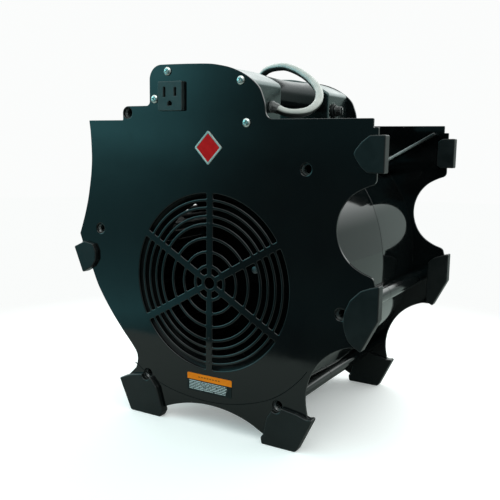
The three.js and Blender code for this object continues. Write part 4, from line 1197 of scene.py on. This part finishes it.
def cord():
    make("cord_jacket", sweep(space_curve(CORD, 1.1), jacket_radius, 32), "cord_grey", 60,
         replaces="power_cord")
    relief_length = 10.8
    fine = space_curve(CORD[:6], 0.3)
    path, total = fine[:1], 0.0
    for before, point in zip(fine, fine[1:]):
        total += (point - before).length
        if total > relief_length:
            break
        path.append(point)
    make("cord_strain_relief", sweep(path, relief_radius, 36), "relief_plastic", 30,
         replaces="strain_relief")


# Plug sections: (distance towards -Y, half width, half height, superellipse power).
PLUG = [(0, 4.6, 4.6, 2.0), (0.4, 5.0, 5.0, 2.0), (3.4, 5.1, 5.1, 2.0), (3.8, 4.7, 4.7, 2.0),
        (4.6, 4.7, 4.7, 2.0), (5.0, 5.3, 5.3, 2.0), (6.6, 5.3, 5.3, 2.0), (7.0, 4.9, 4.9, 2.0),
        (7.8, 4.9, 4.9, 2.0), (8.2, 5.6, 5.5, 2.0), (10, 5.9, 5.7, 2.2), (13, 7.6, 7.0, 2.8),
        (15, 8.0, 7.6, 3.2), (21, 7.7, 7.2, 3.2), (26, 8.0, 7.6, 3.4), (27.6, 8.0, 7.6, 3.4),
        (28, 7.6, 7.2, 3.4)]


def plug():
    angles = [2 * math.pi * i / 40 for i in range(40)]
    rows = [[(PLUG_X + half_w * signed_power(math.cos(a), 2 / power), PLUG_Y - along,
              PLUG_Z + half_h * signed_power(math.sin(a), 2 / power)) for a in angles]
            for along, half_w, half_h, power in PLUG]
    make("plug_body", skinned(rows), "plug_vinyl", 35, replaces="power_plug")

    mesh = bmesh.new()
    for x in (PLUG_X - 6.1, PLUG_X + 6.1):
        rows = []
        for along, half_w, half_h in ((27.5, 0.75, 3.2), (42.6, 0.75, 3.2), (43.6, 0.45, 2.7),
                                      (44.0, 0.2, 2.2)):
            corners = ((-half_w, -half_h), (half_w, -half_h), (half_w, half_h),
                       (-half_w, half_h))
            rows.append([(x + dx, PLUG_Y - along, PLUG_Z + dz) for dx, dz in corners])
        skin(mesh, rows)
    make("plug_blades", mesh, "steel", 30)


# ------------------------------------------------------- inlets and fan wheel
def inlet_bell(side):
    mesh = lathe(bmesh.new(), [
        (96.4, -103.2, 0.4), (92.5, -103.2, 0.4), (84, -99, 5), (79.4, -87, 0.3),
        (81.6, -87, 0.3), (86, -97.4, 5), (96.4, -101.0, 0.4)], (0, 0, AXIS_Z), count=120)
    make(f"inlet_bell_{side}", mesh, "satin_plastic", 40, side, replaces=f"inlet_ring_{side}")


def fan_wheel():
    """Two end rings, a hub with a middle disc, and curved blades."""
    mesh = bmesh.new()
    axis = (0, 0, AXIS_Z)
    for y in (-78.0, 75.0):
        lathe(mesh, [(81.5, y, 0.4), (90, y, 0.6), (90, y + 3, 0.6), (81.5, y + 3, 0.4)],
              axis, count=120)
    lathe(mesh, [(4.30, -18, 0.3), (14, -18, 1.0), (15, -1.6, 2.0), (89.6, -1.6, 0.4),
                 (89.6, 1.4, 0.4), (4.30, 1.4, 0.3)], axis, count=120)
    blades = 44
    for k in range(blades):
        root = 2 * math.pi * k / blades
        front, rear = [], []
        for i in range(8):
            u = i / 7
            radius = 75.0 + 14.2 * u
            lean, half = 0.017 * u + 0.126 * u * u, 0.0052 + 0.004 * u   # radians
            for edge, angle in ((front, root + lean - half), (rear, root + lean + half)):
                edge.append((radius * math.cos(angle), AXIS_Z + radius * math.sin(angle)))
        prism(mesh, front + rear[::-1], (-77.4, 77.4), (0, 0), 1)
    make("fan_wheel", mesh, "wheel_plastic", 35, body="rotor", replaces="blower_wheel")


power_socket()
badge()
label()
dial()
speed_knob()
cord()
plug()
for side in SIDES:
    inlet_bell(side)
fan_wheel()

# -------------------------------------------------- CAD pieces that stay shown
KEPT = {
    "motor_shaft": "steel", "motor_rotor": "steel", "motor_stator": "winding_copper",
    "motor_can": "motor_paint", "motor_endbell_front": "motor_paint",
    "motor_endbell_rear": "motor_paint", "bearing_front": "steel", "bearing_rear": "steel",
    "motor_bracket": "bracket_steel", "run_capacitor": "capacitor_case",
    "switch_body": "motor_paint",
}
for name, finish in KEPT.items():
    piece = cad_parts[name]
    piece.data.materials.clear()
    piece.data.materials.append(MATERIALS[finish])
    for polygon in piece.data.polygons:
        polygon.use_smooth = True
    weld = piece.modifiers.new("weld", "WELD")
    weld.merge_threshold = 1e-6
    bevel = piece.modifiers.new("rim", "BEVEL")
    bevel.width, bevel.segments = 0.0004, 2
    bevel.limit_method, bevel.angle_limit = "ANGLE", math.radians(38)


# --------------------------------------------------------- camera and studio
def add_camera():
    """Camera on the -Y side, turned towards +X, slightly raised and rolled."""
    azimuth, elevation, roll = map(math.radians, (30.714, 8.587, 0.805))
    position = Vector((365.96, -646.17, 276.54)) * MM
    back = Vector((math.sin(azimuth) * math.cos(elevation),
                   -math.cos(azimuth) * math.cos(elevation), math.sin(elevation)))
    level = Vector((math.cos(azimuth), math.sin(azimuth), 0))
    upright = back.cross(level)
    right = level * math.cos(roll) + upright * math.sin(roll)
    up = -level * math.sin(roll) + upright * math.cos(roll)
    data = bpy.data.cameras.new("camera")
    data.sensor_width, data.lens, data.clip_start, data.clip_end = 36.0, 49.88, 0.01, 50.0
    camera = bpy.data.objects.new("camera", data)
    bpy.context.scene.collection.objects.link(camera)
    turn = Matrix((right, up, back)).transposed().to_4x4()
    camera.matrix_world = Matrix.Translation(position) @ turn
    bpy.context.scene.camera = camera


def floor_material():
    """White sheet: pale near the object, running out into the white ground. Rays other than
    the camera's see it darker, and it ends for them in front of the object."""
    material = bpy.data.materials.new("studio_floor")
    nodes = Nodes(material)
    output = nodes.new("ShaderNodeOutputMaterial")
    is_camera = nodes.camera_ray()
    place = nodes.geometry("Position")
    _, y, _ = nodes.split(place)
    ground = nodes.fill(nodes.new("ShaderNodeEmission"), Color=(0.955, 0.97, 0.962, 1))
    flat = nodes.vmath("MULTIPLY", place, (1.0, 1.0, 0.0))
    distance = nodes.vmath("LENGTH", flat, out="Value")
    fade = nodes.product(nodes.remap(distance, span=(0.25, 0.60)), is_camera)

    shade = nodes.remap(y, span=(-0.30, 0.05))
    seen = nodes.mix(shade, (0.75, 0.80, 0.785), (0.98, 0.985, 0.98))
    sheet = nodes.fill(nodes.new("ShaderNodeBsdfDiffuse"),
                       Color=nodes.mix(is_camera, (0.335, 0.375, 0.35), seen))
    lift_strength = 0.20
    lift = nodes.fill(nodes.new("ShaderNodeEmission"), Color=(1.0, 1.02, 1.0, 1),
                      Strength=nodes.product(is_camera, lift_strength))
    lit = nodes.new("ShaderNodeAddShader")
    nodes.put(lit.inputs[0], sheet.outputs[0])
    nodes.put(lit.inputs[1], lift.outputs[0])

    noise_middle, wave_size = 0.5, 0.05    # the front edge of the sheet wanders a little
    wave = nodes.math("SUBTRACT", nodes.noise(place, scale=14.0, detail=3.0), noise_middle)
    edge_y = nodes.math("ADD", y, nodes.product(wave, wave_size))
    present = nodes.math("MAXIMUM", nodes.remap(edge_y, span=(-0.352, -0.344)), is_camera)
    clear = nodes.new("ShaderNodeBsdfTransparent")
    cut_sheet = nodes.mix_shader(present, clear.outputs[0], lit.outputs[0])
    nodes.put(output.inputs[0], nodes.mix_shader(fade, cut_sheet, ground.outputs[0]))
    return material


def add_floor():
    mesh = bmesh.new()
    bmesh.ops.create_circle(mesh, cap_ends=True, cap_tris=False, segments=96, radius=3.0)
    data = bpy.data.meshes.new("studio_floor")
    mesh.to_mesh(data)
    mesh.free()
    data.materials.append(floor_material())
    floor = bpy.data.objects.new("studio_floor", data)
    floor.location = (0, 0, -0.0002)
    bpy.context.scene.collection.objects.link(floor)


# Brightness of the room in front, as (degrees, value): round from -Y towards -X, and up.
AZIMUTH_GLOW = [(-60, 0.055), (10, 0.065), (29, 0.055), (32.5, 0.14), (36, 0.40), (39, 0.56),
                (43, 0.66), (60, 0.70), (90, 0.8)]
ELEVATION_GLOW = [(-30, 0.2), (-16.5, 0.16), (-15.4, 0.20), (-13.4, 0.50), (-10.5, 0.28),
                  (-8, 0.2), (-5.5, 0.22), (-3.2, 0.28), (-1.6, 0.36), (0.9, 0.84),
                  (2.5, 0.78), (5.5, 1.25), (20, 1.2), (60, 1.0)]


def grey_ramp(nodes, angle, stops):
    low, high = stops[0][0], stops[-1][0]
    share = nodes.remap(angle, span=(math.radians(low), math.radians(high)), kind="LINEAR")
    node = nodes.new("ShaderNodeValToRGB")
    elements = node.color_ramp.elements
    while len(elements) < len(stops):
        elements.new(0.5)
    for k, (degrees, value) in enumerate(stops):
        elements[k].position = (degrees - low) / (high - low)
        elements[k].color = (value, value, value, 1)
    nodes.put(node.inputs[0], share)
    return node.outputs[0]


def add_world():
    """White behind, above and at the +X side, with a dim teal room in front (-Y)."""
    world = bpy.data.worlds.new("studio")
    bpy.context.scene.world = world
    nodes = Nodes(world)
    output = nodes.new("ShaderNodeOutputWorld")
    direction = nodes.new("ShaderNodeTexCoord").outputs["Generated"]
    x, y, z = nodes.split(direction)
    azimuth = nodes.math("ARCTAN2", nodes.product(x, -1.0), nodes.product(y, -1.0))
    elevation = nodes.math("ARCSINE", z)
    glow = nodes.product(grey_ramp(nodes, azimuth, AZIMUTH_GLOW),
                         grey_ramp(nodes, elevation, ELEVATION_GLOW))
    teal, ambient = (0.58, 2.02, 2.2), (0.038, 0.042, 0.044)
    front = nodes.vmath("MULTIPLY", nodes.mix(glow, (0, 0, 0), (1, 1, 1)), teal)
    front = nodes.vmath("ADD", front, ambient)
    behind = nodes.remap(y, span=(-0.50, 0.02))
    back = nodes.mix(nodes.remap(z, span=(0.12, 0.36)), (0.42, 0.50, 0.475), (2.1, 2.2, 2.18))
    light = nodes.mix(behind, front, back)
    overhead = nodes.remap(z, span=(0.55, 0.8))
    light = nodes.mix(overhead, light, (1.25, 1.32, 1.3))
    # A bright round patch high in front, fading between 30 and 12 degrees from its middle.
    middle = tuple(Vector((0.15, -0.62, 0.77)).normalized())
    patch = nodes.remap(nodes.vmath("DOT_PRODUCT", direction, middle, out="Value"),
                        span=(math.cos(math.radians(30)), math.cos(math.radians(12))))
    light = nodes.mix(patch, light, (2.3, 2.4, 2.4))
    right = nodes.product(nodes.remap(x, span=(0.62, 0.92)), nodes.remap(z, span=(-0.25, 0.0)))
    light = nodes.mix(right, light, (0.75, 0.82, 0.80))
    seen = nodes.mix(nodes.camera_ray(), light, (0.965, 0.975, 0.97))
    background = nodes.fill(nodes.new("ShaderNodeBackground"), Color=seen, Strength=1.0)
    nodes.put(output.inputs[0], background.outputs[0])


add_camera()
view = bpy.context.scene.view_settings
view.view_transform, view.look = "Standard", "None"
view.exposure, view.gamma = 0.0, 1.0
add_floor()
add_world()

bpy.context.view_layer.update()
